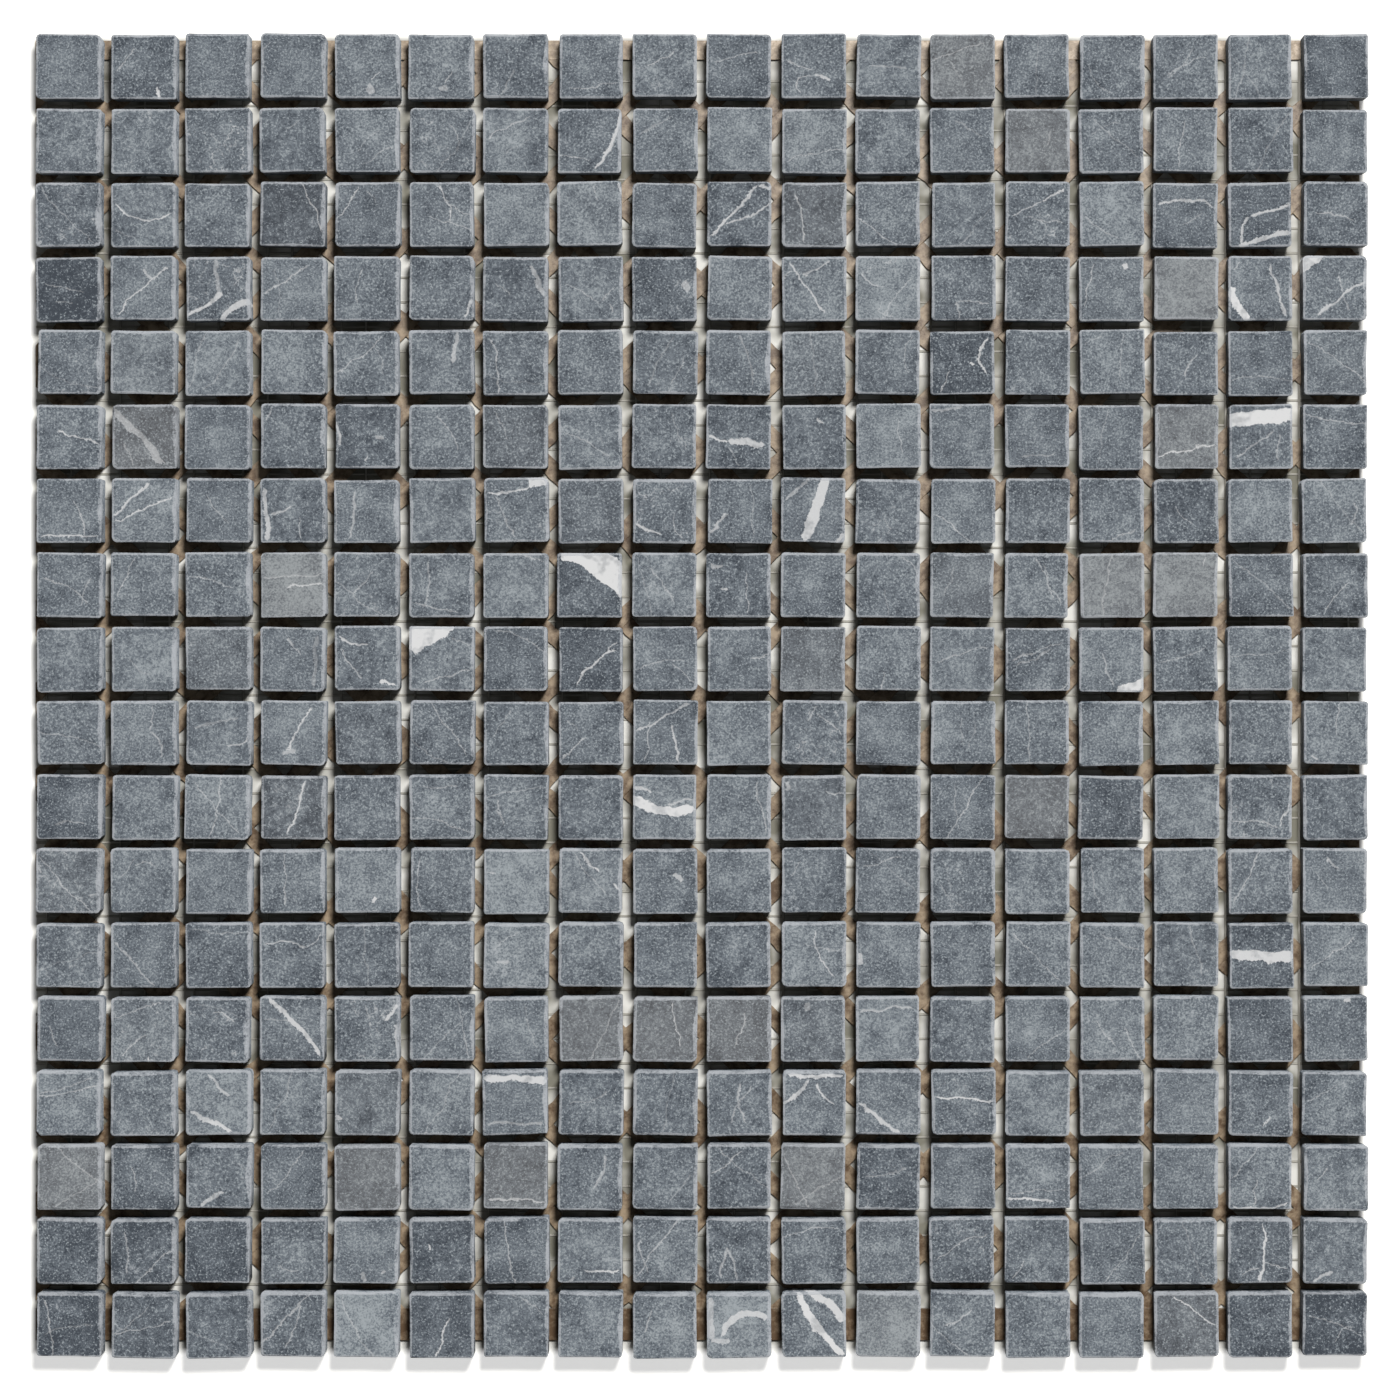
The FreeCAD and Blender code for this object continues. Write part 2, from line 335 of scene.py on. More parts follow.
def stone_material(look):
    """Tumbled marble, matt: rough all over, finely speckled, and pale at its edges, from bruises and
    painted light.
    """
    material, tree, shader = new_material("tumbled marble")
    place, lot, tones = (
        add_node(tree, "Attribute", attribute_name=name).outputs["Vector"]
        for name in ("stone_mm", "stone_lot", "stone_tone")
    )
    own_tone, brown, web = add_node(tree, "SeparateXYZ", {0: tones}).outputs
    spot = add_node(tree, "VectorMath", {0: place, 1: lot}, operation="ADD")
    cloud, fine, flow = (
        add_node(
            tree,
            "TexNoise",
            {"Vector": spot, "Scale": 1 / size, "Detail": detail, "Roughness": roughness},
        )
        for size, detail, roughness in (
            (CLOUD_SIZE, 3, 0.85),
            (GRAIN_SIZE, 1, 1.0),
            (FLOW_SIZE, 3, 0.6),
        )
    )

    # A face is a little paler in its middle, and pale crystals show where the grain is strongest
    from_middle = add_node(tree, "VectorMath", {0: place}, operation="LENGTH").outputs["Value"]
    centre = {"Value": from_middle, "From Min": 2, "From Max": 9, "To Min": 0.05, "To Max": -0.05}
    centre = add_node(tree, "MapRange", centre)
    speck = {"Value": fine, "From Min": 0.63, "From Max": 0.8, "To Max": 1.5}
    speck = add_node(tree, "MapRange", speck)
    tone = AVERAGE_TONE - sum(TONE_CONTRAST) / 2
    for pattern, contrast in zip((cloud, fine), TONE_CONTRAST):
        tone = {0: pattern, 1: contrast, 2: tone}
        tone = add_node(tree, "Math", tone, operation="MULTIPLY_ADD")
    for shift in (centre, own_tone, speck):
        tone = add_node(tree, "Math", {0: tone, 1: shift}, operation="ADD")
    ramp = add_node(tree, "ValToRGB", {0: tone})
    steps = ramp.color_ramp.elements
    steps[0].color = opaque(look.dark)
    steps[1].color = opaque(look.light)
    steps.new(AVERAGE_TONE).color = opaque(look.ground)

    # Pale along the edges: the bruises, with painted highlight where they face the lamp and painted
    # light on the shaded rims, as the worn attribute gives them
    bruise_and_painted_light = -sum(BRUISE_CONTRAST) / 2
    for pattern, contrast in zip((cloud, fine), BRUISE_CONTRAST):
        bruise_and_painted_light = {0: pattern, 1: contrast, 2: bruise_and_painted_light}
        bruise_and_painted_light = add_node(tree, "Math", bruise_and_painted_light, operation="MULTIPLY_ADD")
    worn = add_node(tree, "Attribute", attribute_name="worn").outputs["Fac"]
    bruise_and_painted_light = add_node(tree, "Math", {0: worn, 1: bruise_and_painted_light}, operation="ADD")
    bruise_and_painted_light = add_node(tree, "MapRange", {"Value": bruise_and_painted_light, "From Min": 0.35, "To Max": 0.75})

    veins = veins_shown(tree, cloud, fine, flow, web)
    body = ramp.outputs[0]
    for part, tint in ((brown, look.warm), (veins, look.vein), (bruise_and_painted_light, look.worn)):
        body = {0: part, FIRST: body, SECOND: opaque(tint)}
        body = add_node(tree, "Mix", body, data_type="RGBA").outputs[MIXED]
    bump = add_node(tree, "Bump", {"Height": fine, "Strength": 0.6, "Distance": 0.1 * MM})
    finish = {"Base Color": body, "Roughness": 0.8, "Diffuse Roughness": 1.0, "Normal": bump}
    connect(tree, shader, {**finish, "Specular IOR Level": 0.25})
    return material


def thread_material(look):
    """Glass-fibre thread in a satin coating: pale on top, with painted shade along its foot."""
    material, tree, shader = new_material("coated glass-fibre thread")
    darkening = add_node(tree, "Attribute", attribute_name="darkening").outputs["Fac"]
    # Painted shade: darker towards the thread's foot
    tint = {0: darkening, FIRST: opaque(look.thread), SECOND: opaque(look.thread_foot_shade)}
    tint = add_node(tree, "Mix", tint, data_type="RGBA").outputs[MIXED]
    connect(tree, shader, {"Base Color": tint, "Roughness": 0.6})
    return material


# Size of the patches in which the adhesive is thick, in millimetres, and the place of its plain tan
# between its palest and its darkest
PATCH_SIZE = 2.5
PLAIN_TAN = 0.3


def band_material(look):
    """Dried adhesive, slightly shiny: tan where it is thin, brown in patches where it is thick, and
    paler on the top strip as painted light.
    """
    material, tree, shader = new_material("dried tan adhesive")
    place = add_node(tree, "TexCoord").outputs["Object"]
    darkening = add_node(tree, "Attribute", attribute_name="darkening").outputs["Fac"]
    patches = {"Vector": place, "Scale": 1 / (PATCH_SIZE * MM), "Detail": 4, "Roughness": 0.7}
    patches = add_node(tree, "TexNoise", patches)
    part = {"Value": patches, "From Min": 0.38, "From Max": 0.64, "To Min": PLAIN_TAN}
    part = add_node(tree, "MapRange", part)
    # The bars' darkening moves the tint: paler on the top strip as painted light, darker brown on the
    # bottom strip
    part = add_node(tree, "Math", {0: part, 1: darkening}, operation="ADD")
    tint = add_node(tree, "ValToRGB", {0: part})
    steps = tint.color_ramp.elements
    steps[0].color = opaque(look.band_painted_light)
    steps[1].color = opaque(look.band_dark)
    steps.new(PLAIN_TAN).color = opaque(look.band)
    bump = add_node(tree, "Bump", {"Height": patches, "Strength": 0.5, "Distance": 0.1 * MM})
    connect(tree, shader, {"Base Color": tint, "Roughness": 0.45, "Normal": bump})
    return material


# The outline of a stone goes round its four corners from the right, with three points round a
# corner and one in the middle of a side
CORNERS = ((1, 1), (-1, 1), (-1, -1), (1, -1))
OUTLINE_POINTS = len(CORNERS) * (3 + 1)

# Share of a corner's skew on the sides that face the light, where the picture shows the stones full
LIT_SKEW = 0.25

# How much rounder a corner is where the frame's stone is cut, the spread of that, and the share of
# its radius that the edge's own rounding can take
CUT_ROUNDING = 0.6
CUT_SPREAD = (0.7, 1.3)
ROOM_SHARE = 0.8

# Rings of the blank, from the underside up, with how pale each is drawn: bruised everywhere, and how
# much paler by painted highlight on the sides towards the top and on the right, which face the lamp,
# and by painted light against the shade at the bottom and the left
FOOT, SHOULDER, RIM, FLAT = range(4)
BRUISES_AND_PAINTED_LIGHT = ((0.1, 0, 0, 0), (0.6, 0.3, 0.4, 0), (0.7, 0.3, 0, 0.35), (0, 0, 0, 0))

# The spread of the edges' width, how far it wanders over so many millimetres, and how much narrower
# it is at the bottom
EDGE_SPREAD = (0.8, 1.25)
EDGE_WANDER = 0.7
EDGE_PATCH = 3
BOTTOM_EDGE = 0.35

# In millimetres, how far the foot draws in under the bottom and the left side, how far inside the
# rim the flat starts, and how much less at the right
FOOT_INSET = (0.2, 0.4)
FLAT_INSET = 0.3
FLAT_INSET_RIGHT = 0.15

# The size of the hollows along the rim, in millimetres, the share of them that reaches the flat,
# their level in the noise, apart from the edges', and how far out in it a stone's own part can be
HOLLOW_SIZE = 5
FLAT_HOLLOW = 0.4
HOLLOW_LEVEL = 9
NOISE_REACH = 90

# How steep the chips are and how deep at a corner, in chip depths, and the share of them that are on
# an edge, with how little those turn along it, how far from its middle they reach, and their depth
CHIP_SLOPE = (0.3, 1.6)
CORNER_CHIP = (0.8, 1.9)
EDGE_CHIPS = 0.25
EDGE_CHIP_TURN = 0.05
EDGE_CHIP_REACH = 0.7
EDGE_CHIP = (0.3, 0.7)

# How bruised a chip is at the level of the face, and below it
CHIP_BRUISES = (0.3, 0.75)


class StonePlace:
    """Where one stone of the frame lies: its middle, its turn, its half sizes and its corners."""

    def __init__(self, faces):
        floor = min(vert.co.z for face in faces for vert in face.verts) + MM / 10
        edges = {edge for face in faces for edge in face.edges}
        outline = [edge for edge in edges if max(vert.co.z for vert in edge.verts) < floor]
        longest = max(outline, key=lambda edge: edge.calc_length())
        run = longest.verts[1].co - longest.verts[0].co
        turn = math.atan2(run.y, run.x)
        self.turn = (turn + math.pi / 4) % (math.pi / 2) - math.pi / 4
        back = Matrix.Rotation(-self.turn, 3, "Z")
        base = [back @ vert.co for edge in outline for vert in edge.verts]
        low = Vector(min(point[axis] for point in base) for axis in range(3))
        high = Vector(max(point[axis] for point in base) for axis in range(3))
        middle = (low + high) / 2
        self.half = (high - low) / 2
        self.middle = back.transposed() @ middle
        self.cuts = {}
        for x, y in CORNERS:
            reach = max(x * (p.x - middle.x) + y * (p.y - middle.y) for p in base)
            self.cuts[x, y] = self.half.x + self.half.y - reach


def stones_of(node):
    """Read the stones of one row of the frame, from left to right."""
    source = bmesh.new()
    source.from_mesh(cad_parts[node].data)
    bmesh.ops.remove_doubles(source, verts=source.verts, dist=MM / 100)
    bmesh.ops.dissolve_limit(
        source, angle_limit=math.radians(1), verts=source.verts, edges=source.edges
    )
    left = set(source.faces)
    places = []
    while left:
        front = [left.pop()]
        island = list(front)
        while front:
            near = {other for edge in front.pop().edges for other in edge.link_faces} & left
            left -= near
            front += near
            island += near
        places.append(StonePlace(island))
    source.free()
    return sorted(places, key=lambda place: place.middle.x)


def make_blank():
    """Model the blank that every stone is worn from: a stack of rings, closed at both ends."""
    blank = bmesh.new()
    bmesh.ops.create_circle(blank, cap_ends=True, radius=1, segments=OUTLINE_POINTS)
    for edge in blank.edges:
        edge.smooth = False
    for _ in range(FLAT):
        rim = [edge for edge in blank.edges if edge.is_boundary]
        wall = bmesh.ops.extrude_edge_only(blank, edges=rim)["geom"]
        verts = [item for item in wall if isinstance(item, bmesh.types.BMVert)]
        bmesh.ops.translate(blank, verts=verts, vec=(0, 0, 1))
    bmesh.ops.edgeloop_fill(blank, edges=[edge for edge in blank.edges if edge.is_boundary])
    bmesh.ops.recalc_face_normals(blank, faces=blank.faces)
    mesh = bpy.data.meshes.new("stone blank")
    blank.to_mesh(mesh)
    blank.free()
    return mesh


def outline_place(vert):
    """Read a blank point's number round the outline."""
    turn = math.atan2(vert.co.y, vert.co.x) % math.tau
    return round(turn / math.tau * OUTLINE_POINTS) % OUTLINE_POINTS


class Wear:
    """How one stone is worn: its outline, its edges and its chips, in millimetres."""

    def __init__(self, place, look, chance):
        self.half = place.half / MM
        self.thick = (FACE - UNDERSIDE) / MM
        self.seed = Vector(chance.uniform(-NOISE_REACH, NOISE_REACH) for _ in range(3))
        self.edge = look.edge_radius / MM * chance.uniform(*EDGE_SPREAD)
        self.lit_edge = look.lit_edge
        self.wave = look.face_wave / MM
        self.foot = chance.uniform(*FOOT_INSET)
        self.outline = self.make_outline(place, look, chance)
        self.chips = []
        if chance.random() < look.chip_share:
            deepest = look.chip_depth / MM
            self.chips = [self.new_chip(chance, deepest) for _ in range(chance.choice((1, 1, 2)))]

    def make_outline(self, place, look, chance):
        """Lay the outline's points, each with the way out of the stone and the room to round it."""
        skew, bow = look.skew / MM, look.side_bow / MM
        tips = []
        for x, y in CORNERS:
            short_x = chance.uniform(0, skew) * (1 if x < 0 else LIT_SKEW)
            short_y = chance.uniform(0, skew) * (1 if y < 0 else LIT_SKEW)
            tips.append(Vector((x * (self.half.x - short_x), y * (self.half.y - short_y))))
        ways = [(tips[number] - tips[number - 1]).normalized() for number in range(4)]
        points = []
        for number, corner in enumerate(CORNERS):
            came, goes = ways[number], ways[(number + 1) % 4]
            cut = max(place.cuts[corner] / MM, 0)
            radius = look.corner_radius / MM + CUT_ROUNDING * cut * chance.uniform(*CUT_SPREAD)
            tip, room = tips[number], ROOM_SHARE * radius
            out_came, out_goes = Vector((came.y, -came.x)), Vector((goes.y, -goes.x))
            half_way = radius * (1 - math.sqrt(0.5))
            side = tip.lerp(tips[(number + 1) % 4], 0.5) - out_goes * bow * chance.random()
            points += [
                (tip - came * radius, out_came, room),
                (tip - (came - goes) * half_way, (out_came + out_goes).normalized(), room),
                (tip + goes * radius, out_goes, room),
                (side, out_goes, self.half.x),
            ]
        return points

    def new_chip(self, chance, deepest):
        """Choose a flat break at a corner or an edge: a point on it, and the way out of the stone."""
        x, y = chance.choice(CORNERS)
        way = Vector((x, y, chance.uniform(*CHIP_SLOPE)))
        spot = Vector((x * self.half.x, y * self.half.y, self.thick))
        depth = deepest * chance.uniform(*CORNER_CHIP)
        if chance.random() < EDGE_CHIPS:
            axis = chance.randrange(2)
            way[axis] *= EDGE_CHIP_TURN
            spot[axis] *= chance.uniform(-EDGE_CHIP_REACH, EDGE_CHIP_REACH)
            depth = deepest * chance.uniform(*EDGE_CHIP)
        way.normalize()
        return spot - way * depth, way

    def shape(self, vert):
        """Place one point of the blank, and return how pale its edge is drawn there: bruises and
        painted light.
        """
        spot, out, room = self.outline[outline_place(vert)]
        ring = round(vert.co.z)
        near = noise.noise(Vector((spot.x, spot.y, 0)) / EDGE_PATCH + self.seed)
        up, right, bottom = max(out.y, 0), max(out.x, 0), max(-out.y, 0)
        shade = bottom + max(-out.x, 0)
        edge = self.edge * (1 + self.lit_edge * right - BOTTOM_EDGE * bottom)
        edge = min(edge * (1 + EDGE_WANDER * near), room)
        dip = noise.noise(Vector((spot.x, spot.y, HOLLOW_LEVEL)) / HOLLOW_SIZE + self.seed)
        dip = self.wave * (1 + dip) / 2
        if ring == FOOT:
            spot, height = spot - out * self.foot * shade, 0
        elif ring == SHOULDER:
            height = self.thick - edge - dip
        elif ring == RIM:
            spot, height = spot - out * edge, self.thick - dip
        else:
            inset = edge + FLAT_INSET - FLAT_INSET_RIGHT * right
            spot, height = spot * (1 - inset / self.half.x), self.thick - dip * FLAT_HOLLOW
        vert.co = (spot.x, spot.y, height)
        return sum(part * side for part, side in zip(BRUISES_AND_PAINTED_LIGHT[ring], (1, up, right, shade)))


# What the photograph's blur adds to a vein's width, and the least width drawn, in millimetres
VEIN_BLUR = 0.1
VEIN_LEAST = 0.03


class Vein:
    """One vein across a stone's face, from a start to an end in millimetres from its middle."""

    def __init__(self, start_x, start_y, end_x, end_y, width=0.0, strength=0.5, bow=0.0):
        start, end = Vector((start_x, start_y)), Vector((end_x, end_y))
        self.middle = (start + end) / 2
        run = end - start
        self.reach = run.length / 2
        self.way = run.normalized()
        self.width = max(width - VEIN_BLUR, VEIN_LEAST) / 2
        self.strength = strength
        self.bow = bow

    def seen_from(self, point):
        """Give a stone's point its place along and across the vein, with the bow and the width."""
        away = Vector((point.x, point.y)) - self.middle
        across = away.x * -self.way.y + away.y * self.way.x
        return away.dot(self.way) / self.reach, across, -self.bow, self.width + VEIN_EDGE


# A vein that doesn't show, for the stones that have fewer than the most
NO_VEIN = Vein(90, 90, 91, 91, strength=0)

# Veins that the picture shows plainly. The numbers of each are its stone's row and column, its
# start and its end from the stone's middle, right and up, its width, how strongly it shows and,
# where it bows, how far to its left. Lengths are in millimetres
MARKED = (
    (1, 2, -6, -1.2, -2.2, 4.2, 0.1, 0.5), (1, 2, 3.3, -4.2, 3.5, -6.9, 0.6, 0.9),
    (1, 4, -5.2, 5.9, -5.2, -3.4, 0.1, 0.5, -1.3), (1, 5, 3, -1.4, 1, -3.8, 0.1, 0.8),
    (1, 5, 0.2, -4.4, 1, -5.8, 1.6, 0.5), (1, 6, 2.9, -1.2, 1, -3.6, 0.1, 0.8),
    (1, 6, 0.3, -4.4, 1, -5.6, 1.6, 0.5), (1, 7, -0.1, -0.5, -3.4, -6.5, 0.4, 0.3, 0.6),
    (1, 11, -6.4, 1.6, -0.2, -0.9, 0.15, 0.6, -0.4), (1, 11, 0.1, -2.2, 3.9, -3.3, 0.5, 0.7),
    (1, 11, -0.2, -2.2, -2.9, -6.8, 0.3, 0.6, -2.5), (2, 4, -1.3, 2.3, 1.6, 4.2, 0.1, 0.4),
    (2, 8, 6.9, 7, 1.2, -6.4, 0.7, 0.8, 1.2), (2, 8, -7.1, -3.1, 0.7, -4.5, 0.15, 0.6),
    (2, 14, 3.5, 2.3, 2.4, -1.5, 0.3, 0.35), (2, 16, 0.2, 4.8, -1.8, -6.9, 0.15, 0.6),
    (3, 2, -6.8, 3.4, 6.8, 0.1, 0.3, 0.8, -2.6), (3, 2, -6.5, -2.9, -1.6, -5.6, 0.1, 0.4),
    (3, 5, -1.5, 6.8, -6.8, -1.4, 0.15, 0.7, 0.3), (3, 5, -0.8, 5.2, 1.6, 2.4, 0.1, 0.5, 0.3),
    (3, 6, -0.5, 6.8, 1.9, -2.2, 0.2, 0.8, 0.9), (3, 6, 1.6, 2.2, 7.2, -0.5, 0.1, 0.6),
    (3, 6, -3.3, -0.3, 7.3, -3.8, 0.1, 0.6), (3, 8, 1.5, 6.8, 2.3, 2.4, 0.1, 0.5),
    (3, 8, 6.9, 6.8, 7.4, 4.6, 0.4, 0.8), (3, 10, 4.5, 6.8, -6.6, -5.2, 0.5, 0.8),
    (3, 10, 7.2, 2.4, -3.4, -2.4, 0.3, 0.7, 0.3), (3, 10, 4.5, 6.8, 7.5, 5.4, 0.6, 0.8),
    (3, 14, 6.5, 5.2, 0.8, 3, 0.4, 0.8), (3, 14, 0.8, 3, -5.5, -0.8, 0.3, 0.6),
    (3, 14, -2.5, -0.3, 5.7, -2.4, 0.15, 0.45), (3, 16, -6.7, 2.2, 6.8, 1.9, 0.5, 0.75, 1.5),
    (3, 16, -0.8, -2.4, 4.1, 0.8, 0.1, 0.4), (3, 17, 7.3, 2.4, -2.2, -0.5, 0.6, 0.75),
    (3, 17, -2.2, -0.5, -4.6, -6.2, 0.4, 0.7, -0.4), (3, 17, 7.3, -4.1, -4.9, -6.5, 0.9, 0.75),
    (4, 1, -5.7, 1.4, 3.5, -0.5, 0.1, 0.5), (4, 1, -3, -2.7, 1.4, -3.3, 0.1, 0.5),
    (4, 2, -5.9, -6.4, 6.5, 5.4, 0.3, 0.7, 0.8), (4, 2, 0.2, 4.5, 2.5, 2, 0.5, 0.5),
    (4, 3, -7.4, -6.1, 1.2, -0.6, 0.7, 0.8, -0.5), (4, 3, -0.9, 6.8, -0.4, -2.8, 0.9, 0.4, 0.5),
    (4, 3, 1, -7.4, 7.6, -3.2, 1.3, 0.75, 1.3), (4, 6, 6.8, -2, 5, -6.5, 0.5, 0.7),
    (4, 7, 3.7, 6, 6.4, -1.4, 0.8, 0.5), (4, 7, -4.5, 1.4, -1.2, -1.9, 0.1, 0.4),
    (4, 8, -5.9, 1.4, 1.7, -3, 0.1, 0.5), (4, 8, 1.7, -3, 6.1, 0.8, 0.1, 0.5),
    (4, 8, 4.2, -3, 4.5, -5.2, 0.2, 0.5), (4, 9, 4.5, 1.8, 6.1, -0.4, 1.6, 0.5),
    (4, 11, -5.7, 6.4, 2.4, -6.1, 0.35, 0.7), (4, 11, -3, 3.4, 3.5, 6.4, 0.3, 0.6, -0.4),
    (4, 11, -6.8, 2.3, -5.2, 4, 0.2, 0.5), (4, 12, 5.5, 2.4, -1.5, -6.5, 0.15, 0.5),
    (4, 12, -6.4, 3.5, -2, 0.3, 0.3, 0.5), (4, 13, -1.8, -2.6, 6.3, -3.9, 0.3, 0.45),
    (4, 13, -1.3, -3.1, -1, -6.9, 0.3, 0.5), (4, 15, -4, 6.4, -6.4, -4.7, 0.2, 0.6),
    (4, 15, 3, 4.8, 3.9, 5.3, 1.1, 0.8), (4, 17, -6.9, 0.4, -2.7, -7.4, 1.9, 1, -0.6),
    (4, 17, 1.9, 5.9, 5.7, -6.6, 0.5, 0.7, 0.2), (4, 17, -6.5, 4, -5, 5.9, 0.2, 0.5),
    (4, 18, -8.4, 4.4, -2.4, 8.2, 2.8, 1), (4, 18, 7.1, 2.3, -4.1, -6.6, 0.5, 0.7),
    (4, 18, 0.5, 3.4, 3, -5.8, 0.2, 0.5, 0.3), (5, 6, 4.1, 6.4, 2.4, -0.6, 1, 0.55, 0.3),
    (5, 12, 6.4, 5.9, 4.7, -2.3, 0.1, 0.5, -1.9), (5, 13, 5.8, 6.2, 5.8, -3, 0.4, 0.8, -1.6),
    (5, 13, 1.9, 0.6, 3, -0.2, 0.8, 0.9), (5, 13, -2.9, -1.4, -5.4, -6.8, 0.15, 0.6),
    (5, 15, -6.4, 3.6, -2.6, 6.4, 0.1, 0.4), (5, 15, 2.3, 6.3, 1.7, -5.2, 0.1, 0.4),
    (6, 1, -2.7, 1.5, 7.3, -1.5, 0.3, 0.8), (6, 2, -6.8, 6.4, 4.1, -6.6, 1.5, 0.45, 0.5),
    (6, 2, -3.5, 2, 5.4, -6.9, 0.3, 0.5), (6, 2, -4.5, -1, -2, -6.6, 0.2, 0.4),
    (6, 4, -4.7, 6.4, -5.7, 2.9, 0.1, 0.5), (6, 5, -7.1, 3.7, -6.1, -1.7, 0.6, 0.8),
    (6, 5, 2.2, 0, 4, -0.6, 1, 0.45), (6, 5, 0, -4.2, -0.8, -5.5, 0.3, 0.6),
    (6, 7, -4.5, 5.9, -1.8, -1.2, 0.1, 0.4), (6, 10, -6.7, -0.1, -2.6, -1.2, 0.5, 0.8),
    (6, 10, -2.6, -1, 6.1, -2, 1.1, 0.75, 0.2), (6, 10, -2.9, -1.7, 0.7, -6.6, 0.1, 0.4),
    (6, 11, 0.8, 4.5, 1.6, 3.2, 0.4, 0.8), (6, 13, -6.8, 5.9, -0.2, 6.2, 0.6, 0.4),
    (6, 16, -6.2, 7, -6.5, -4.5, 0.1, 0.5), (6, 16, -7.3, -5, 6.8, -1.5, 0.3, 0.8),
    (6, 17, -8, 3.4, 8, 4.4, 3, 1, 0.6), (6, 17, 3.3, 1.5, -6, -4.5, 0.3, 0.5),
    (6, 17, 4.3, 1, 3.3, -6, 0.3, 0.4), (7, 1, 0.8, 3.4, 4.3, -6.4, 0.2, 0.6, 0.6),
    (7, 1, -7.3, -5.9, 6.8, -5.3, 0.4, 0.7), (7, 2, 1.6, 6.9, -7.1, -1.5, 0.4, 0.75),
    (7, 2, 7.1, 3.4, -6.5, -2.6, 0.3, 0.8), (7, 4, -6.6, 5.5, -5.8, -7, 0.9, 0.7),
    (7, 4, -5.2, -1, 0.2, 1.2, 0.4, 0.6), (7, 4, 1.3, -1.5, 1.3, -7, 0.15, 0.6),
    (7, 5, -2.4, 5, -4.1, -6.4, 0.5, 0.45, 0.4), (7, 7, 2.7, 6.3, 7.4, 6.2, 1.6, 0.9),
    (7, 7, -7.1, 4.1, 3.3, 5.7, 0.4, 0.8, -0.9), (7, 7, -5.2, 4, 0.2, -6.5, 0.15, 0.5),
    (7, 9, -6.8, -2.4, -0.8, -5.4, 0.4, 0.75), (7, 9, 2.4, -0.5, 4.1, -6.5, 0.2, 0.5, -1),
    (7, 10, -2.7, -0.3, -6.7, -4.9, 0.5, 0.6), (7, 10, 2.8, 6.5, 3, -6.5, 0.1, 0.4),
    (7, 11, 2.9, 7.6, -2, -7.6, 2.3, 0.85), (7, 11, -6.6, 2.2, -0.6, 6.8, 0.5, 0.45),
    (7, 11, 7.2, -5.2, 5, -7.4, 0.8, 0.7), (7, 12, -1.3, -1.1, 1.4, -4.3, 0.1, 0.4),
    (7, 13, -6.4, -0.5, 2.6, -7.1, 0.2, 0.6), (7, 15, 5.3, -4.3, -1, -7.1, 0.15, 0.5),
    (8, 3, -7, 2.2, 4.2, -0.5, 0.15, 0.6), (8, 4, -1.6, -0.4, 7.1, -0.1, 0.3, 0.7),
    (8, 4, -7.3, 1.5, 7.3, 2, 0.3, 0.4, 0.4), (8, 7, 0, 7.1, 7.1, 5.5, 0.15, 0.5),
    (8, 8, -6.5, 9, 9.5, -1.5, 5.6, 1, 1.6), (8, 10, 2, 3.3, 2.2, -6.5, 0.15, 0.6),
    (8, 10, -4, -0.9, -2.6, -0.9, 0.6, 0.7), (8, 10, -6.5, 4.6, -3.8, 4, 0.6, 0.45),
    (8, 12, 2, 6.6, 7, 0, 0.1, 0.5, 1.2), (8, 12, -0.8, -1, 0.1, -6.5, 0.1, 0.4),
    (8, 16, 4.4, 6.6, 3.8, 4.4, 0.2, 0.5), (8, 18, 3.3, 1.1, -2.7, -5.9, 0.15, 0.6, -0.6),
    (9, 4, -1.2, 4.8, 2.3, 0.7, 0.2, 0.5), (9, 4, 5.8, 6, 5, -6, 0.9, 0.25),
    (9, 5, -6.3, 5.2, 0.8, 3.2, 0.4, 0.75, -1), (9, 5, -6.3, 2.9, -0.8, -4.2, 0.2, 0.6, -0.8),
    (9, 5, 3, -5.5, 6.6, -6, 0.5, 0.9), (9, 6, -8, 2.5, 2, 9.5, 5.5, 1),
    (9, 6, -4.3, -5.5, 7.1, -2.6, 0.15, 0.6), (9, 6, 2, 5, 6.8, 3.4, 0.1, 0.5),
    (9, 8, 6.9, 2.6, -3.4, -6.6, 0.35, 0.8, -1.5), (9, 8, 6.3, 4.2, 3.4, 1, 0.2, 0.6),
    (9, 9, -6.8, -1.9, 5.2, 0.2, 0.15, 0.5), (9, 9, 1.4, -1.2, 6.8, -5.3, 0.15, 0.55),
    (9, 10, 2.2, -0.1, 7.1, 1.2, 0.2, 0.5), (9, 12, -0.8, -3.1, -1.6, -6.9, 0.2, 0.6),
    (9, 13, -6.4, -0.9, 6.1, 2.9, 0.1, 0.5), (9, 14, -5.9, -0.4, 5.8, 4.2, 0.2, 0.5),
    (9, 14, -5.1, -1.5, 3.6, 2.3, 0.3, 0.4), (9, 14, 5.2, -6.6, 6.9, -4.7, 0.2, 0.6),
    (9, 15, 1.2, -8, 9, -4.8, 2.4, 1), (9, 15, -1.8, 2.3, 0.4, -6.4, 0.2, 0.5),
    (10, 2, 1.6, 6.7, 1.9, 0.2, 0.2, 0.45), (10, 2, 1.9, 0.2, 4.3, -5.8, 0.3, 0.5, 1),
    (10, 3, -6, 1.2, 5, 4, 0.6, 0.3), (10, 3, 1.6, -2.6, 6.8, -0.6, 0.3, 0.6, -1),
    (10, 4, 4.6, 6.4, -1.6, -4.7, 0.3, 0.8), (10, 4, -2.2, -4.7, 0.5, -4.2, 0.8, 0.5),
    (10, 8, -0.7, -0.9, -6.7, -6.1, 0.2, 0.6), (10, 8, -5.6, 2.9, -2.9, 0.7, 0.1, 0.4),
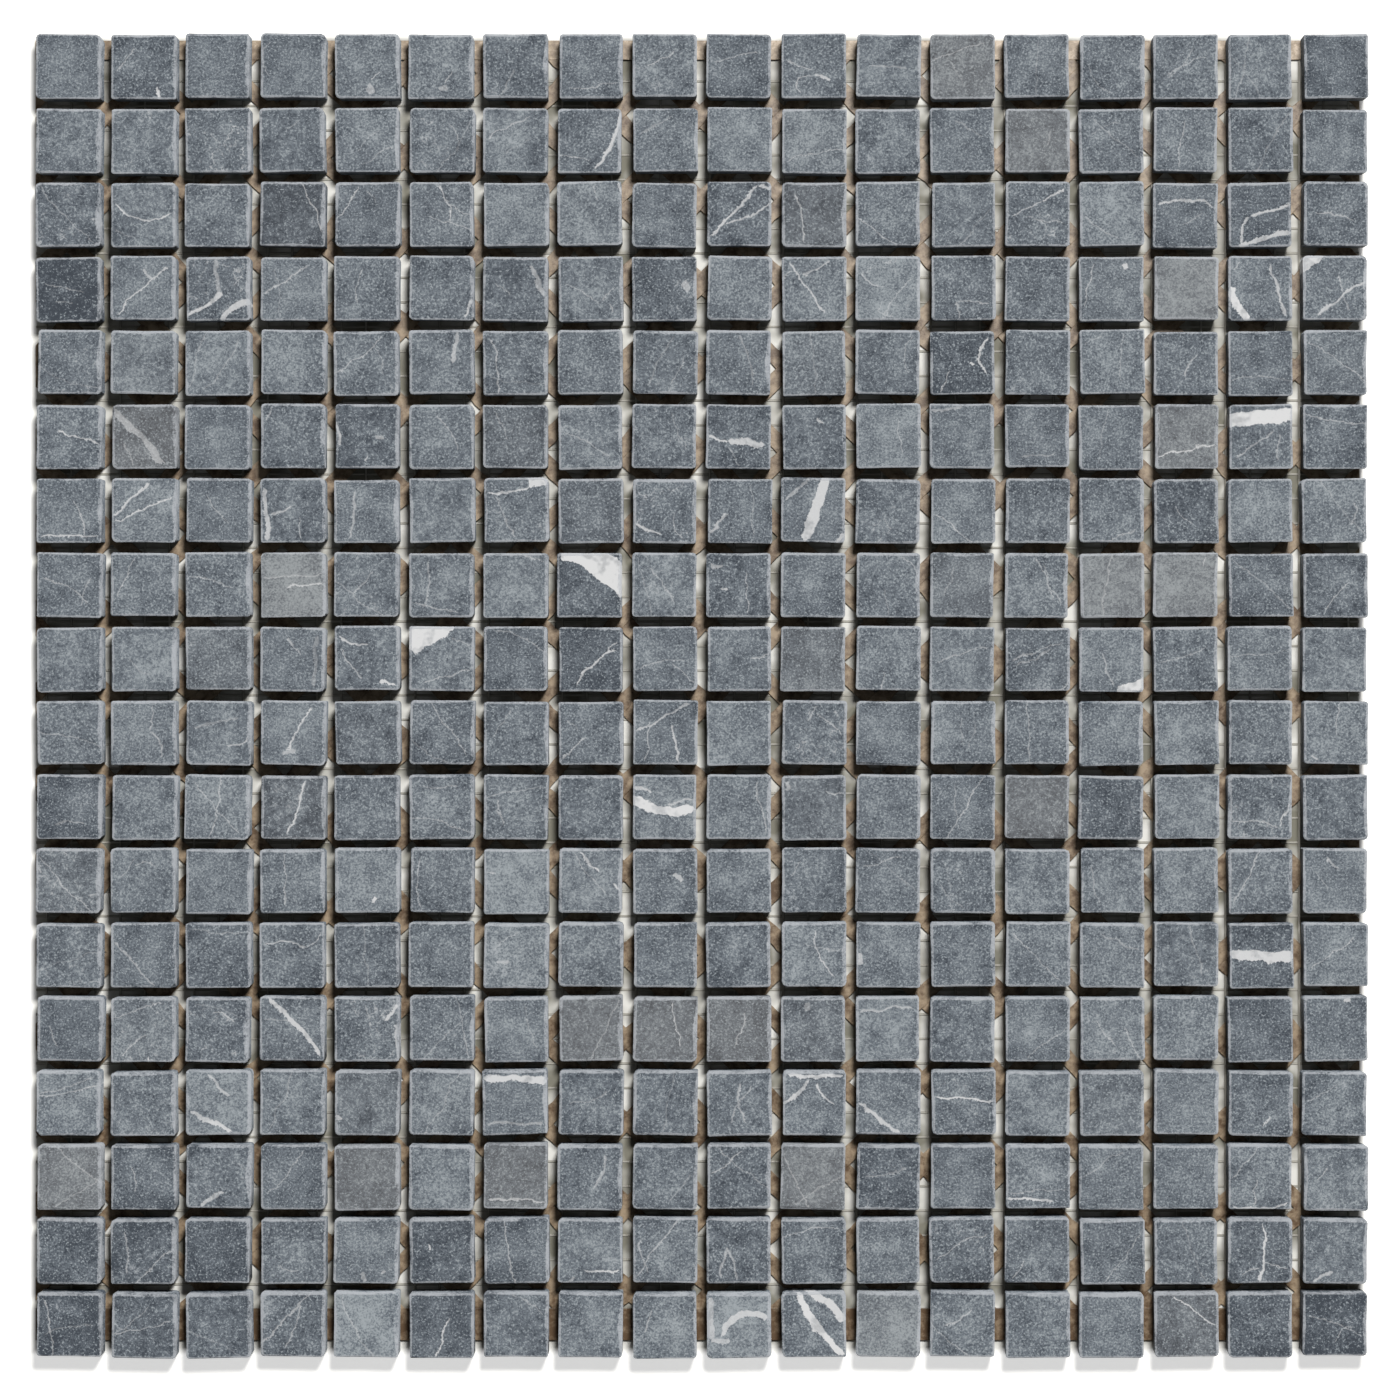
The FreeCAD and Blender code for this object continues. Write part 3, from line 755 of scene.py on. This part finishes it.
    (10, 9, -7.1, -0.4, 5.7, 6.4, 0.35, 0.65, 0.5), (10, 9, -3, 2.9, -4.6, -6.9, 0.2, 0.55),
    (10, 9, 1.1, 2.3, 3.3, -6.9, 0.4, 0.7), (10, 11, 0.5, 6.4, -1.1, 2.9, 0.2, 0.5),
    (10, 11, 0, 5, 6.5, -0.4, 0.2, 0.5), (10, 18, 1.4, 7, 0.5, -0.9, 0.15, 0.6, -0.8),
    (10, 18, -5.9, -5.4, -4.3, -6.6, 0.4, 0.6), (11, 4, 3.2, 6.5, -1.2, -6.8, 0.4, 0.8, 0.3),
    (11, 9, -7.8, 1.9, 7.8, -0.5, 2, 1, -1.1), (11, 9, -7.3, 4.9, -3, 3, 0.5, 0.7),
    (11, 9, 0.3, 0.8, 6.8, 1.9, 0.3, 0.6), (11, 10, 4.4, 6.5, 6.3, -6.2, 0.15, 0.6, -0.4),
    (11, 11, 2.1, 4.1, 6.7, 3.5, 0.2, 0.6), (11, 11, -5.5, 6.2, -5.2, 4.1, 0.6, 0.5),
    (11, 17, -6.9, -2.7, 4.5, -4.6, 0.2, 0.55), (11, 17, 4.5, -4.6, 7, 0.8, 0.3, 0.75, 0.4),
    (12, 4, -2.4, 6.8, -2.2, -6.3, 0.15, 0.6, 0.9), (12, 5, 1.4, -4.4, 1.9, -4.8, 1.3, 0.9),
    (12, 6, -4.9, 5.7, -4.3, -6.8, 0.15, 0.6, -1.1), (12, 7, -6.5, 2.5, -4.3, 1.9, 0.3, 0.5),
    (12, 8, -2.7, 6.8, 1.9, 1.9, 0.3, 0.85), (12, 8, -4.3, 6.8, 4.3, -3.5, 0.1, 0.5, -0.5),
    (12, 8, 5.4, -0.8, 7.2, -2.2, 0.4, 0.8), (12, 9, 1.6, 1.9, 3.8, -0.3, 1, 0.6),
    (12, 11, -3, 4.1, -6, 0.8, 0.1, 0.5), (12, 18, -2.2, 5.2, 1.1, 2.4, 0.3, 0.6),
    (12, 18, -4.9, 1.9, -1.6, -1.9, 0.1, 0.5), (13, 3, -6.5, 5.9, 6.5, 5.1, 0.1, 0.4),
    (13, 4, -6.6, 2.3, 3.5, 1.7, 0.3, 0.65, 1), (13, 4, 3.5, 1.7, 6.5, 5.5, 0.2, 0.6, -0.6),
    (13, 7, -5.7, 1.5, 0.9, 5.6, 0.1, 0.5), (13, 7, -4, -1, -1.5, -1.5, 0.6, 0.5),
    (13, 11, 0.4, 5.9, 4.5, -5.5, 0.3, 0.7, -1.2), (13, 11, -2.6, 2.9, 7.2, 0.7, 0.1, 0.5),
    (13, 12, -6.7, 1, -6.4, -2.3, 1, 0.6), (13, 17, -7.8, 0.3, 7.6, -0.9, 2.3, 0.9, 0.2),
    (13, 18, -6.4, -3.4, 5, 4, 0.15, 0.6), (14, 2, -7.1, 2.1, 4.9, 6.2, 0.15, 0.6, 0.4),
    (14, 2, -4.9, -6, 1.6, -1.1, 0.2, 0.6, 0.6), (14, 2, 1, -6.8, 1.3, -6.9, 0.8, 0.8),
    (14, 4, -5.8, 7.2, 7.4, -6.4, 0.9, 0.8, 0.6), (14, 4, -6.6, 2.4, -0.9, 2.1, 0.1, 0.4),
    (14, 5, 7.4, 5.7, 4.5, 2.1, 0.8, 0.8), (14, 5, -0.4, 5.4, 0.7, 2.1, 0.1, 0.5),
    (14, 5, 6.9, 1.5, 7, -4.5, 0.4, 0.6), (14, 9, 1.6, 7, 3.8, -3.9, 0.2, 0.7, -0.4),
    (14, 11, -1.8, 6.5, -1.2, 4.3, 1.2, 0.4), (14, 12, -6.4, 3.8, 6.6, 4.8, 0.4, 0.5, 0.4),
    (14, 15, -3.8, 2.7, 0.8, -4.4, 0.1, 0.6), (14, 15, 2.4, 0.5, 6.8, -7.1, 0.15, 0.6),
    (14, 18, 1.5, 6.4, 3.5, 6.4, 0.8, 0.7), (15, 3, -2.2, 6.8, 2.7, 1.1, 0.7, 0.6),
    (15, 3, -6.8, -1.4, 3.3, -7.3, 0.8, 0.85), (15, 5, -6.7, -2.2, -6.2, -3.5, 0.8, 0.8),
    (15, 7, -7.6, 5.6, 7.8, 4.9, 1.3, 0.9, 0.2), (15, 7, -6.5, -4.9, 6.8, -4.9, 0.5, 0.4),
    (15, 11, -5.9, 6.5, 6.9, 6.8, 0.8, 0.9, -0.5), (15, 11, -7, -0.5, -1, 5.7, 0.6, 0.8),
    (15, 11, 0.7, 4.9, 4.5, -0.5, 0.4, 0.8, -0.4), (15, 12, -6.7, 0, 2.8, -7.3, 0.8, 0.75, -0.4),
    (15, 13, -6.8, 1.6, 6.8, 0, 0.5, 0.85, 0.2), (15, 17, 2, -3, 0.4, -5.4, 0.3, 0.7),
    (15, 18, -6.8, 0.5, 1.4, 4.9, 0.1, 0.4), (16, 3, 1.1, -3.6, -3.8, -7.2, 0.9, 0.6, -0.5),
    (16, 7, -6.7, -5.4, 6.8, -5.7, 0.4, 0.6, 0.6), (16, 8, 3.5, 5.6, 0.5, -2.6, 0.4, 0.45, 1.1),
    (16, 14, -7.3, -4.7, 4, -5.8, 0.5, 0.85, 0.3), (16, 14, -6.9, -3.4, 7.2, -3.1, 0.1, 0.45),
    (16, 17, -6.6, -0.9, -0.1, 6.4, 0.15, 0.6), (16, 17, -0.9, -0.4, -1.5, -7.2, 0.2, 0.6),
    (16, 17, -6.6, -6.1, 7, -5.8, 0.5, 0.8, -1.2), (16, 18, -1.9, 2.6, -4.6, -0.4, 0.2, 0.6),
    (17, 5, -1, -4.7, -0.4, -7.2, 1, 0.5), (17, 5, 3.7, -4.5, 4.2, -5, 0.9, 0.5),
    (17, 6, -2.8, 1.5, -2.3, -0.1, 0.5, 0.8), (17, 8, -1.4, -4.2, 6.7, -4.7, 0.4, 0.85),
    (17, 8, -6.3, -6.9, -3, -5.8, 0.3, 0.5), (17, 10, -4.1, -6.4, -2.4, 0.7, 0.5, 0.45, 0.5),
    (17, 10, -2.4, 0.7, -0.3, -6.4, 0.5, 0.45, 0.6), (17, 13, -6.8, -2.6, 6.3, 4, 0.2, 0.5, 0.8),
    (17, 14, -2.6, -2, -5.8, -6.4, 0.15, 0.6), (17, 17, 0.8, 6.7, 0, -7.2, 0.5, 0.85, 0.5),
    (17, 17, 0.9, -2.6, 6.3, -4.2, 0.2, 0.6), (17, 17, 0, -3.6, -4.4, -5.3, 0.2, 0.6),
    (17, 18, -0.3, -4.7, -5.2, -7.4, 0.6, 0.6, -0.5), (18, 2, -7.6, -1.9, 7.1, 1.9, 0.2, 0.5, -0.6),
    (18, 2, 1.1, 4.6, -7.6, -2.2, 0.1, 0.5, 0.6), (18, 6, 1.8, 2.2, -1.2, -7.1, 0.3, 0.8),
    (18, 10, -4.2, -2.4, 6.9, 1.9, 1.5, 0.75, 2.8), (18, 10, -6.4, 6.6, -6.2, -3.4, 1.5, 0.6),
    (18, 10, -6, -3, -2, -3.6, 1, 0.6), (18, 11, -4.4, 7.8, 6.9, -6.8, 1.6, 1, -0.8),
    (18, 11, -1.9, 8, 7.4, 0.9, 1.8, 0.9, 0.6), (18, 16, -3, 7.1, 7.3, 0, 0.3, 0.8, -0.5),
)

# Stones whose marble is plainly darker, paler or browner than the rest, or has a web of fine veins
DARKER = {
    (3, 17), (4, 1), (5, 13), (9, 8), (11, 1), (2, 17), (17, 2), (17, 3), (17, 6), (18, 1), (18, 2),
    (18, 6), (18, 17), (18, 18),
}
PALER = {(4, 12), (4, 16), (8, 4), (8, 15), (12, 7), (18, 5), (18, 10)}
BROWNER = {
    (1, 13), (2, 14), (4, 16), (6, 2), (6, 16), (8, 4), (8, 15), (8, 16), (11, 14), (14, 8), (14, 9),
    (14, 10), (16, 1), (16, 5), (16, 7), (16, 11),
}
WEBBED = {
    (2, 2), (2, 3), (3, 1), (3, 14), (4, 3), (4, 12), (7, 9), (10, 11), (12, 1), (14, 2), (14, 3),
    (14, 5),
}


# The random fine veins of the plain stones, in millimetres: how far from the middle they can pass,
# half their length, their width and their bow; and how strongly they show
FINE_PASS = 5
FINE_REACH = (2.5, 10)
FINE_WIDTH = (0.05, 0.3)
FINE_BOW = 1
FINE_STRENGTH = (0.25, 0.6)

# How far out in the marble's pattern a stone can be cut, in millimetres, and the spread of the
# stones' tones. Few are brownish, by a mean and a spread, or webbed, by a least and a most,
# because what falls below zero counts as none
LOT_REACH = 500
TONE_SPREAD = 0.075
BROWN_SPREAD = (-0.12, 0.08)
WEB_SPREAD = (-3, 0.5)

# What the stones in the lists above have in addition
TONE_STEP = 0.2
BROWN_STEP = 0.2
WEB_STEP = 0.6


def random_veins(chance, share_of):
    """Choose up to two fine veins that cross a plain stone."""
    veins = []
    if chance.random() > share_of:
        return veins
    for _ in range(chance.choice((1, 1, 2))):
        turn = chance.uniform(0, math.pi)
        way = Vector((math.cos(turn), math.sin(turn)))
        middle = Vector((-way.y, way.x)) * chance.uniform(-FINE_PASS, FINE_PASS)
        run = way * chance.uniform(*FINE_REACH)
        width, strength = chance.uniform(*FINE_WIDTH), chance.uniform(*FINE_STRENGTH)
        bow = chance.uniform(-FINE_BOW, FINE_BOW)
        veins.append(Vein(*(middle - run), *(middle + run), width, strength, bow))
    return veins


class RowMaker:
    """Models one row of worn stones in one mesh, with the attributes that their marble reads."""

    def __init__(self, look, chance):
        self.look = look
        self.chance = chance
        self.mesh = bmesh.new()
        layers = self.mesh.verts.layers
        self.place_mm = layers.float_vector.new("stone_mm")
        self.lot = layers.float_vector.new("stone_lot")
        self.tone = layers.float_vector.new("stone_tone")
        # The worn attribute holds the bruises together with the painted light along the edges
        self.worn = layers.float.new("worn")
        self.veins = [layers.float_color.new(f"vein_{number}") for number in range(VEINS)]
        self.strength = layers.float_vector.new("vein_strength")
        self.shortness = layers.float_vector.new("vein_shortness")

    def add_stone(self, place, blank, key):
        """Wear one blank to the stone at this place and set it there."""
        others = set(self.mesh.verts)
        self.mesh.from_mesh(blank)
        verts = [vert for vert in self.mesh.verts if vert not in others]
        wear = Wear(place, self.look, self.chance)
        for vert in verts:
            # How pale the edge is drawn: bruises and painted light
            vert[self.worn] = wear.shape(vert)
        for spot, way in wear.chips:
            verts = self.chip(verts, spot, way)
        self.mark(verts, wear, key)
        turn = Matrix.Rotation(place.turn, 4, "Z")
        there = Matrix.Translation((place.middle.x, place.middle.y, UNDERSIDE))
        bmesh.ops.transform(self.mesh, matrix=there @ turn @ Matrix.Scale(MM, 4), verts=verts)

    def chip(self, verts, spot, way):
        """Break a corner or an edge off a stone, and return the points that it has then."""
        face = max(vert.co.z for vert in verts) - self.look.face_wave / MM
        fresh, rim = cut_off(self.mesh, verts, spot, way)
        for edge in rim:
            edge.smooth = False
            for vert in edge.verts:
                vert[self.worn] = CHIP_BRUISES[vert.co.z < face]
        return list({vert for vert in verts if vert.is_valid} | set(fresh))

    def mark(self, verts, wear, key):
        """Give a stone's points the attributes that its grain and its veins are drawn from."""
        chance = self.chance
        lot = Vector(chance.uniform(-LOT_REACH, LOT_REACH) for _ in range(3))
        tone = chance.gauss(0, TONE_SPREAD) + TONE_STEP * ((key in PALER) - (key in DARKER))
        brown = max(0, chance.gauss(*BROWN_SPREAD)) + BROWN_STEP * (key in BROWNER)
        web = max(0, chance.uniform(*WEB_SPREAD)) + WEB_STEP * (key in WEBBED)
        veins = random_veins(chance, self.look.vein_share)
        veins = [Vein(*line[2:]) for line in MARKED if line[:2] == key] or veins
        veins = (veins + [NO_VEIN] * VEINS)[:VEINS]
        strength = Vector(vein.strength for vein in veins)
        shortness = Vector(1 / vein.reach for vein in veins)
        for vert in verts:
            point = vert.co - Vector((0, 0, wear.thick))
            vert[self.place_mm] = point
            vert[self.lot] = lot
            vert[self.tone] = (tone, brown, web)
            vert[self.strength] = strength
            vert[self.shortness] = shortness
            for layer, vein in zip(self.veins, veins):
                vert[layer] = vein.seen_from(point)

    def finish(self, name, material):
        """Smooth the row and put it in the scene."""
        for face in self.mesh.faces:
            face.smooth = True
        return put_in_scene(self.mesh, name, material)


class MOSAIC_OT_stones(bpy.types.Operator):
    """Lay the worn marble stones in place of the plain ones"""

    bl_idname = "mosaic.stones"
    bl_label = "Lay stones"

    def execute(self, context):
        look = context.scene.mosaic_stones
        chance = random.Random(look.seed)
        material = stone_material(look)
        blank = make_blank()
        for row, node in enumerate(ROWS, start=1):
            maker = RowMaker(look, chance)
            for column, place in enumerate(stones_of(node), start=1):
                maker.add_stone(place, blank, (row, column))
            piece = maker.finish(f"stones_row_{row:02d}", material)
            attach(piece, "root")
            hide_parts(node)
        bpy.data.meshes.remove(blank)
        return {"FINISHED"}


class LayerMaker:
    """Models one layer of the backing in place of a node: bars that end at the backing's edges."""

    def __init__(self, node, look):
        self.node = node
        self.look = look
        self.low, self.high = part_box(node)
        self.low.y, self.high.y = look.bottom, look.top
        self.mesh = bmesh.new()
        self.darkening = self.mesh.verts.layers.float.new("darkening")

    def add_bar(self, middle, turn, reach, width, rounding, darkening=(0, 0)):
        """Lay one bar with rounded upper edges; darkening is how much darker its foot and its top are
        drawn.

        Return the edges that run along it.
        """
        others = set(self.mesh.edges)
        verts = bmesh.ops.create_cube(self.mesh, size=1)["verts"]
        for vert in verts:
            vert[self.darkening] = darkening[vert.co.z > 0]
        upper = [
            edge
            for edge in {edge for vert in verts for edge in vert.link_edges}
            if edge.verts[0].co.yz == edge.verts[1].co.yz and edge.verts[0].co.z > 0
        ]
        size = Matrix.Diagonal((reach, width, self.high.z - self.low.z, 1))
        there = Matrix.Translation((*middle, (self.low.z + self.high.z) / 2))
        bmesh.ops.transform(self.mesh, matrix=there @ Matrix.Rotation(turn, 4, "Z") @ size, verts=verts)
        bmesh.ops.bevel(
            self.mesh, geom=upper, offset=rounding, segments=2, profile=0.5, affect="EDGES", material=-1
        )
        fresh = set(self.mesh.edges) - others
        return [edge for edge in fresh if edge.calc_length() > reach / 2]

    def add_bands(self, turn, spacing, shift):
        """Lay all the bands that run across the sheet at this turn, with sides that wander."""
        look = self.look
        across = Vector((-math.sin(turn), math.cos(turn)))
        far = (self.high - self.low).xy.length / 2
        first, last = math.ceil((-far - shift) / spacing), math.floor((far - shift) / spacing)
        long_edges = []
        for number in range(first, last + 1):
            middle = across * (shift + number * spacing)
            long_edges += self.add_bar(middle, turn, 2 * far, look.band_width, look.band_rounding)
        cuts = round(4 * far / look.wave_length)
        bmesh.ops.subdivide_edges(self.mesh, edges=long_edges, cuts=cuts, use_grid_fill=True)
        for vert in self.mesh.verts:
            stray = noise.noise(vert.co / look.wave_length) * look.band_wave
            vert.co.xy += across * stray

    def add_strip(self, bottom, top, darkening):
        """Lay a strip of adhesive straight across the sheet."""
        middle = ((self.low.x + self.high.x) / 2, (bottom + top) / 2)
        reach = self.high.x - self.low.x
        self.add_bar(middle, 0, reach, top - bottom, self.look.band_rounding, (darkening, darkening))

    def cut(self, low, high):
        """Cut off all that lies outside two opposite corners."""
        for spot, way in ((low, (-1, 0, 0)), (low, (0, -1, 0)), (high, (1, 0, 0)), (high, (0, 1, 0))):
            cut_off(self.mesh, self.mesh.verts, spot, way)

    def finish(self, name, material, slot):
        """Put the layer in the scene in place of its node."""
        bmesh.ops.recalc_face_normals(self.mesh, faces=self.mesh.faces)
        piece = put_in_scene(self.mesh, name, material)
        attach(piece, "root")
        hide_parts(self.node)


class MOSAIC_OT_backing(bpy.types.Operator):
    """Lay the threads of the net and the bands of adhesive in place of the plain ones"""

    bl_idname = "mosaic.backing"
    bl_label = "Lay backing"

    def execute(self, context):
        look = context.scene.mosaic_backing
        self.lay_net(look)
        self.lay_bands(look)
        return {"FINISHED"}

    def lay_net(self, look):
        """Lay the threads that run across the sheet, and over them the ones that run up it."""
        thread = thread_material(look)
        for name, node, axis in (("threads_across", "net_weft", 1), ("threads_up", "net_warp", 0)):
            maker = LayerMaker(node, look)
            low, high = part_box(node)
            spaces = round((high[axis] - low[axis]) / look.thread_spacing)
            reach = maker.high[1 - axis] - maker.low[1 - axis]
            turn = 0 if axis else math.pi / 2
            middle = (maker.low + maker.high).xy / 2
            first = (low[axis] + high[axis] - spaces * look.thread_spacing) / 2
            for number in range(spaces + 1):
                middle[axis] = first + number * look.thread_spacing
                # Each thread is drawn with painted shade at its foot
                maker.add_bar(middle, turn, reach, look.thread_width, look.thread_rounding, (1, 0))
            maker.finish(name, thread, "net")

    def lay_bands(self, look):
        """Lay the falling bands, and over them the rising ones between a strip along either edge."""
        band = band_material(look)
        falling = LayerMaker("bands_lower", look)
        falling.add_bands(look.falling_turn, look.falling_spacing, look.falling_shift)
        falling.cut(falling.low, falling.high)
        falling.finish("adhesive_falling", band, "bands")
        rising = LayerMaker("bands_upper", look)
        rising.add_bands(look.rising_turn, look.rising_spacing, look.rising_shift)
        up = Vector((0, 1, 0))
        rising.cut(rising.low + up * look.bottom_strip, rising.high - up * look.top_strip)
        # The bottom strip is drawn darker brown, and the top strip paler as painted light
        rising.add_strip(look.bottom, look.bottom + look.bottom_strip, look.bottom_strip_darkening)
        rising.add_strip(look.top - look.top_strip, look.top, -look.top_strip_painted_light)
        rising.finish("adhesive_rising", band, "bands")


def outside(tree, place, low, high, fade):
    """Tell how far a place lies outside a box, seen from above: from 0 inside to 1 past the fade."""
    middle, half = tuple((low + high) / 2), tuple((high - low) / 2)
    away = add_node(tree, "VectorMath", {0: place, 1: middle}, operation="SUBTRACT")
    away = add_node(tree, "VectorMath", {0: away}, operation="ABSOLUTE")
    past = add_node(tree, "VectorMath", {0: away, 1: half}, operation="SUBTRACT")
    sides = add_node(tree, "SeparateXYZ", {0: past}).outputs
    past = add_node(tree, "Math", {0: sides[0], 1: sides[1]}, operation="MAXIMUM")
    return add_node(tree, "MapRange", {"Value": past, "From Min": -fade, "From Max": fade})


# Size of the patches of dust, in millimetres
DUST_SIZE = 12


def paper_material(look, backing):
    """White paper, dusty under the sheet and grey just past it as painted shadow: the camera sees it
    white round the sheet, with its shadow.
    """
    material, tree, shader = new_material("white paper")
    place = add_node(tree, "TexCoord").outputs["Object"]
    low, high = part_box("net_weft")
    rim = Vector((look.dust_and_shadow_rim, look.dust_and_shadow_rim, 0))
    low = Vector((low.x, backing.bottom, 0)) - rim
    high = Vector((high.x, backing.top, 0)) + rim
    dust = add_node(tree, "TexNoise", {"Vector": place, "Scale": 1 / (DUST_SIZE * MM), "Detail": 3})
    dust = add_node(tree, "MapRange", {"Value": dust, "From Min": 0.38, "From Max": 0.62})
    # Grey in patches under the sheet, and as painted shadow just past the backing's edges
    clear = outside(tree, place, low, high, look.dust_and_shadow_fade)
    dust_and_shadow = add_node(tree, "Math", {0: 1.0, 1: clear}, operation="SUBTRACT")
    dust_and_shadow = add_node(tree, "Math", {0: dust_and_shadow, 1: dust}, operation="MULTIPLY")
    tint = {0: dust_and_shadow, FIRST: opaque(look.floor), SECOND: opaque(look.floor_dull)}
    tint = add_node(tree, "Mix", tint, data_type="RGBA").outputs[MIXED]

    # At the bottom the stones reach past the backing, so the glow starts further out, at their feet,
    # and the paper between them is left without it, as painted shade
    low = Vector((low.x, CAD_LOW.y + look.dust_and_shadow_rim, 0))
    rays = add_node(tree, "LightPath").outputs
    glow = rays["Is Camera Ray"]
    for ray in ("Is Glossy Ray", "Is Transmission Ray"):
        glow = add_node(tree, "Math", {0: glow, 1: rays[ray]}, operation="MAXIMUM")
    for factor in (outside(tree, place, low, high, look.dust_and_shadow_fade), look.floor_glow):
        glow = add_node(tree, "Math", {0: glow, 1: factor}, operation="MULTIPLY")
    connect(tree, shader, {"Base Color": tint, "Roughness": 0.9, "Specular IOR Level": 0})
    connect(tree, shader, {"Emission Color": WHITE, "Emission Strength": glow})
    return material


class MOSAIC_OT_stage(bpy.types.Operator):
    """Lay the white paper and set the lamp and the camera"""

    bl_idname = "mosaic.stage"
    bl_label = "Set stage"

    def execute(self, context):
        look = context.scene.mosaic_stage
        self.lay_floor(context.scene, look)
        self.hang_lamp(context.scene, look)
        self.light_sky(context.scene, look)
        self.set_camera(context.scene, look)
        context.scene.view_settings.view_transform = "Standard"
        return {"FINISHED"}

    def lay_floor(self, scene, look):
        """Lay a wide square of white paper under the sheet."""
        floor = bmesh.new()
        bmesh.ops.create_grid(floor, x_segments=1, y_segments=1, size=look.floor_side / 2)
        put_in_scene(floor, "floor", paper_material(look, scene.mosaic_backing))

    def hang_lamp(self, scene, look):
        """Hang a small lamp whose light doesn't weaken with distance, so both ends look alike.

        At 4 pi squared watts it would light a white face that is turned to it to full white.
        """
        lamp = bpy.data.lights.new("lamp", "POINT")
        place = Vector((look.lamp_right, look.lamp_up, look.lamp_height))
        lamp.shadow_soft_size = look.lamp_radius
        lamp.energy = look.lamp_share * 4 * math.pi**2 * place.length / place.z
        lamp.use_nodes = True
        even = add_node(lamp.node_tree, "LightFalloff", {"Strength": 1.0}).outputs["Constant"]
        connect(lamp.node_tree, lamp.node_tree.nodes["Emission"], {"Strength": even})
        hung = bpy.data.objects.new("lamp", lamp)
        hung.location = place
        scene.collection.objects.link(hung)

    def light_sky(self, scene, look):
        """Light the sheet faintly from all round, and show the camera plain white there."""
        world = bpy.data.worlds.new("even light")
        world.use_nodes = True
        tree = world.node_tree
        seen = add_node(tree, "LightPath").outputs["Is Camera Ray"]
        strength = add_node(tree, "MapRange", {"Value": seen, "To Min": look.sky_share})
        connect(tree, tree.nodes["Background"], {"Color": WHITE, "Strength": strength})
        scene.world = world

    def set_camera(self, scene, look):
        """Look straight down on the sheet, with a lens that takes in the view's width."""
        lens = bpy.data.cameras.new("camera")
        lens.sensor_fit = "HORIZONTAL"
        lens.lens = lens.sensor_width * (look.camera_height - FACE) / look.view_width
        camera = bpy.data.objects.new("camera", lens)
        camera.location = (look.camera_right, look.camera_up, look.camera_height)
        scene.collection.objects.link(camera)
        scene.camera = camera


class MOSAIC_PT_sidebar(bpy.types.Panel):
    """The steps that dress the sheet, with their sizes and colours"""

    bl_label = "Mosaic tile sheet"
    bl_idname = "MOSAIC_PT_sidebar"
    bl_space_type = "VIEW_3D"
    bl_region_type = "UI"
    bl_category = "Mosaic"

    def draw(self, context):
        scene = context.scene
        for settings, operator in (
            (scene.mosaic_stones, MOSAIC_OT_stones),
            (scene.mosaic_backing, MOSAIC_OT_backing),
            (scene.mosaic_stage, MOSAIC_OT_stage),
        ):
            box = self.layout.box()
            for name in settings.__annotations__:
                box.prop(settings, name)
            box.operator(operator.bl_idname)


CLASSES = (
    StoneSizes,
    BackingSizes,
    StageSizes,
    MOSAIC_OT_stones,
    MOSAIC_OT_backing,
    MOSAIC_OT_stage,
    MOSAIC_PT_sidebar,
)


def register():
    """Add the settings, the operators and the panel."""
    for kind in CLASSES:
        bpy.utils.register_class(kind)
    bpy.types.Scene.mosaic_stones = bpy.props.PointerProperty(type=StoneSizes)
    bpy.types.Scene.mosaic_backing = bpy.props.PointerProperty(type=BackingSizes)
    bpy.types.Scene.mosaic_stage = bpy.props.PointerProperty(type=StageSizes)


def unregister():
    """Take the settings, the operators and the panel away again."""
    del bpy.types.Scene.mosaic_stage
    del bpy.types.Scene.mosaic_backing
    del bpy.types.Scene.mosaic_stones
    for kind in reversed(CLASSES):
        bpy.utils.unregister_class(kind)


def main():
    """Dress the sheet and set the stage."""
    register()
    bpy.ops.mosaic.stones()
    bpy.ops.mosaic.backing()
    bpy.ops.mosaic.stage()


if __name__ == "__main__":
    main()
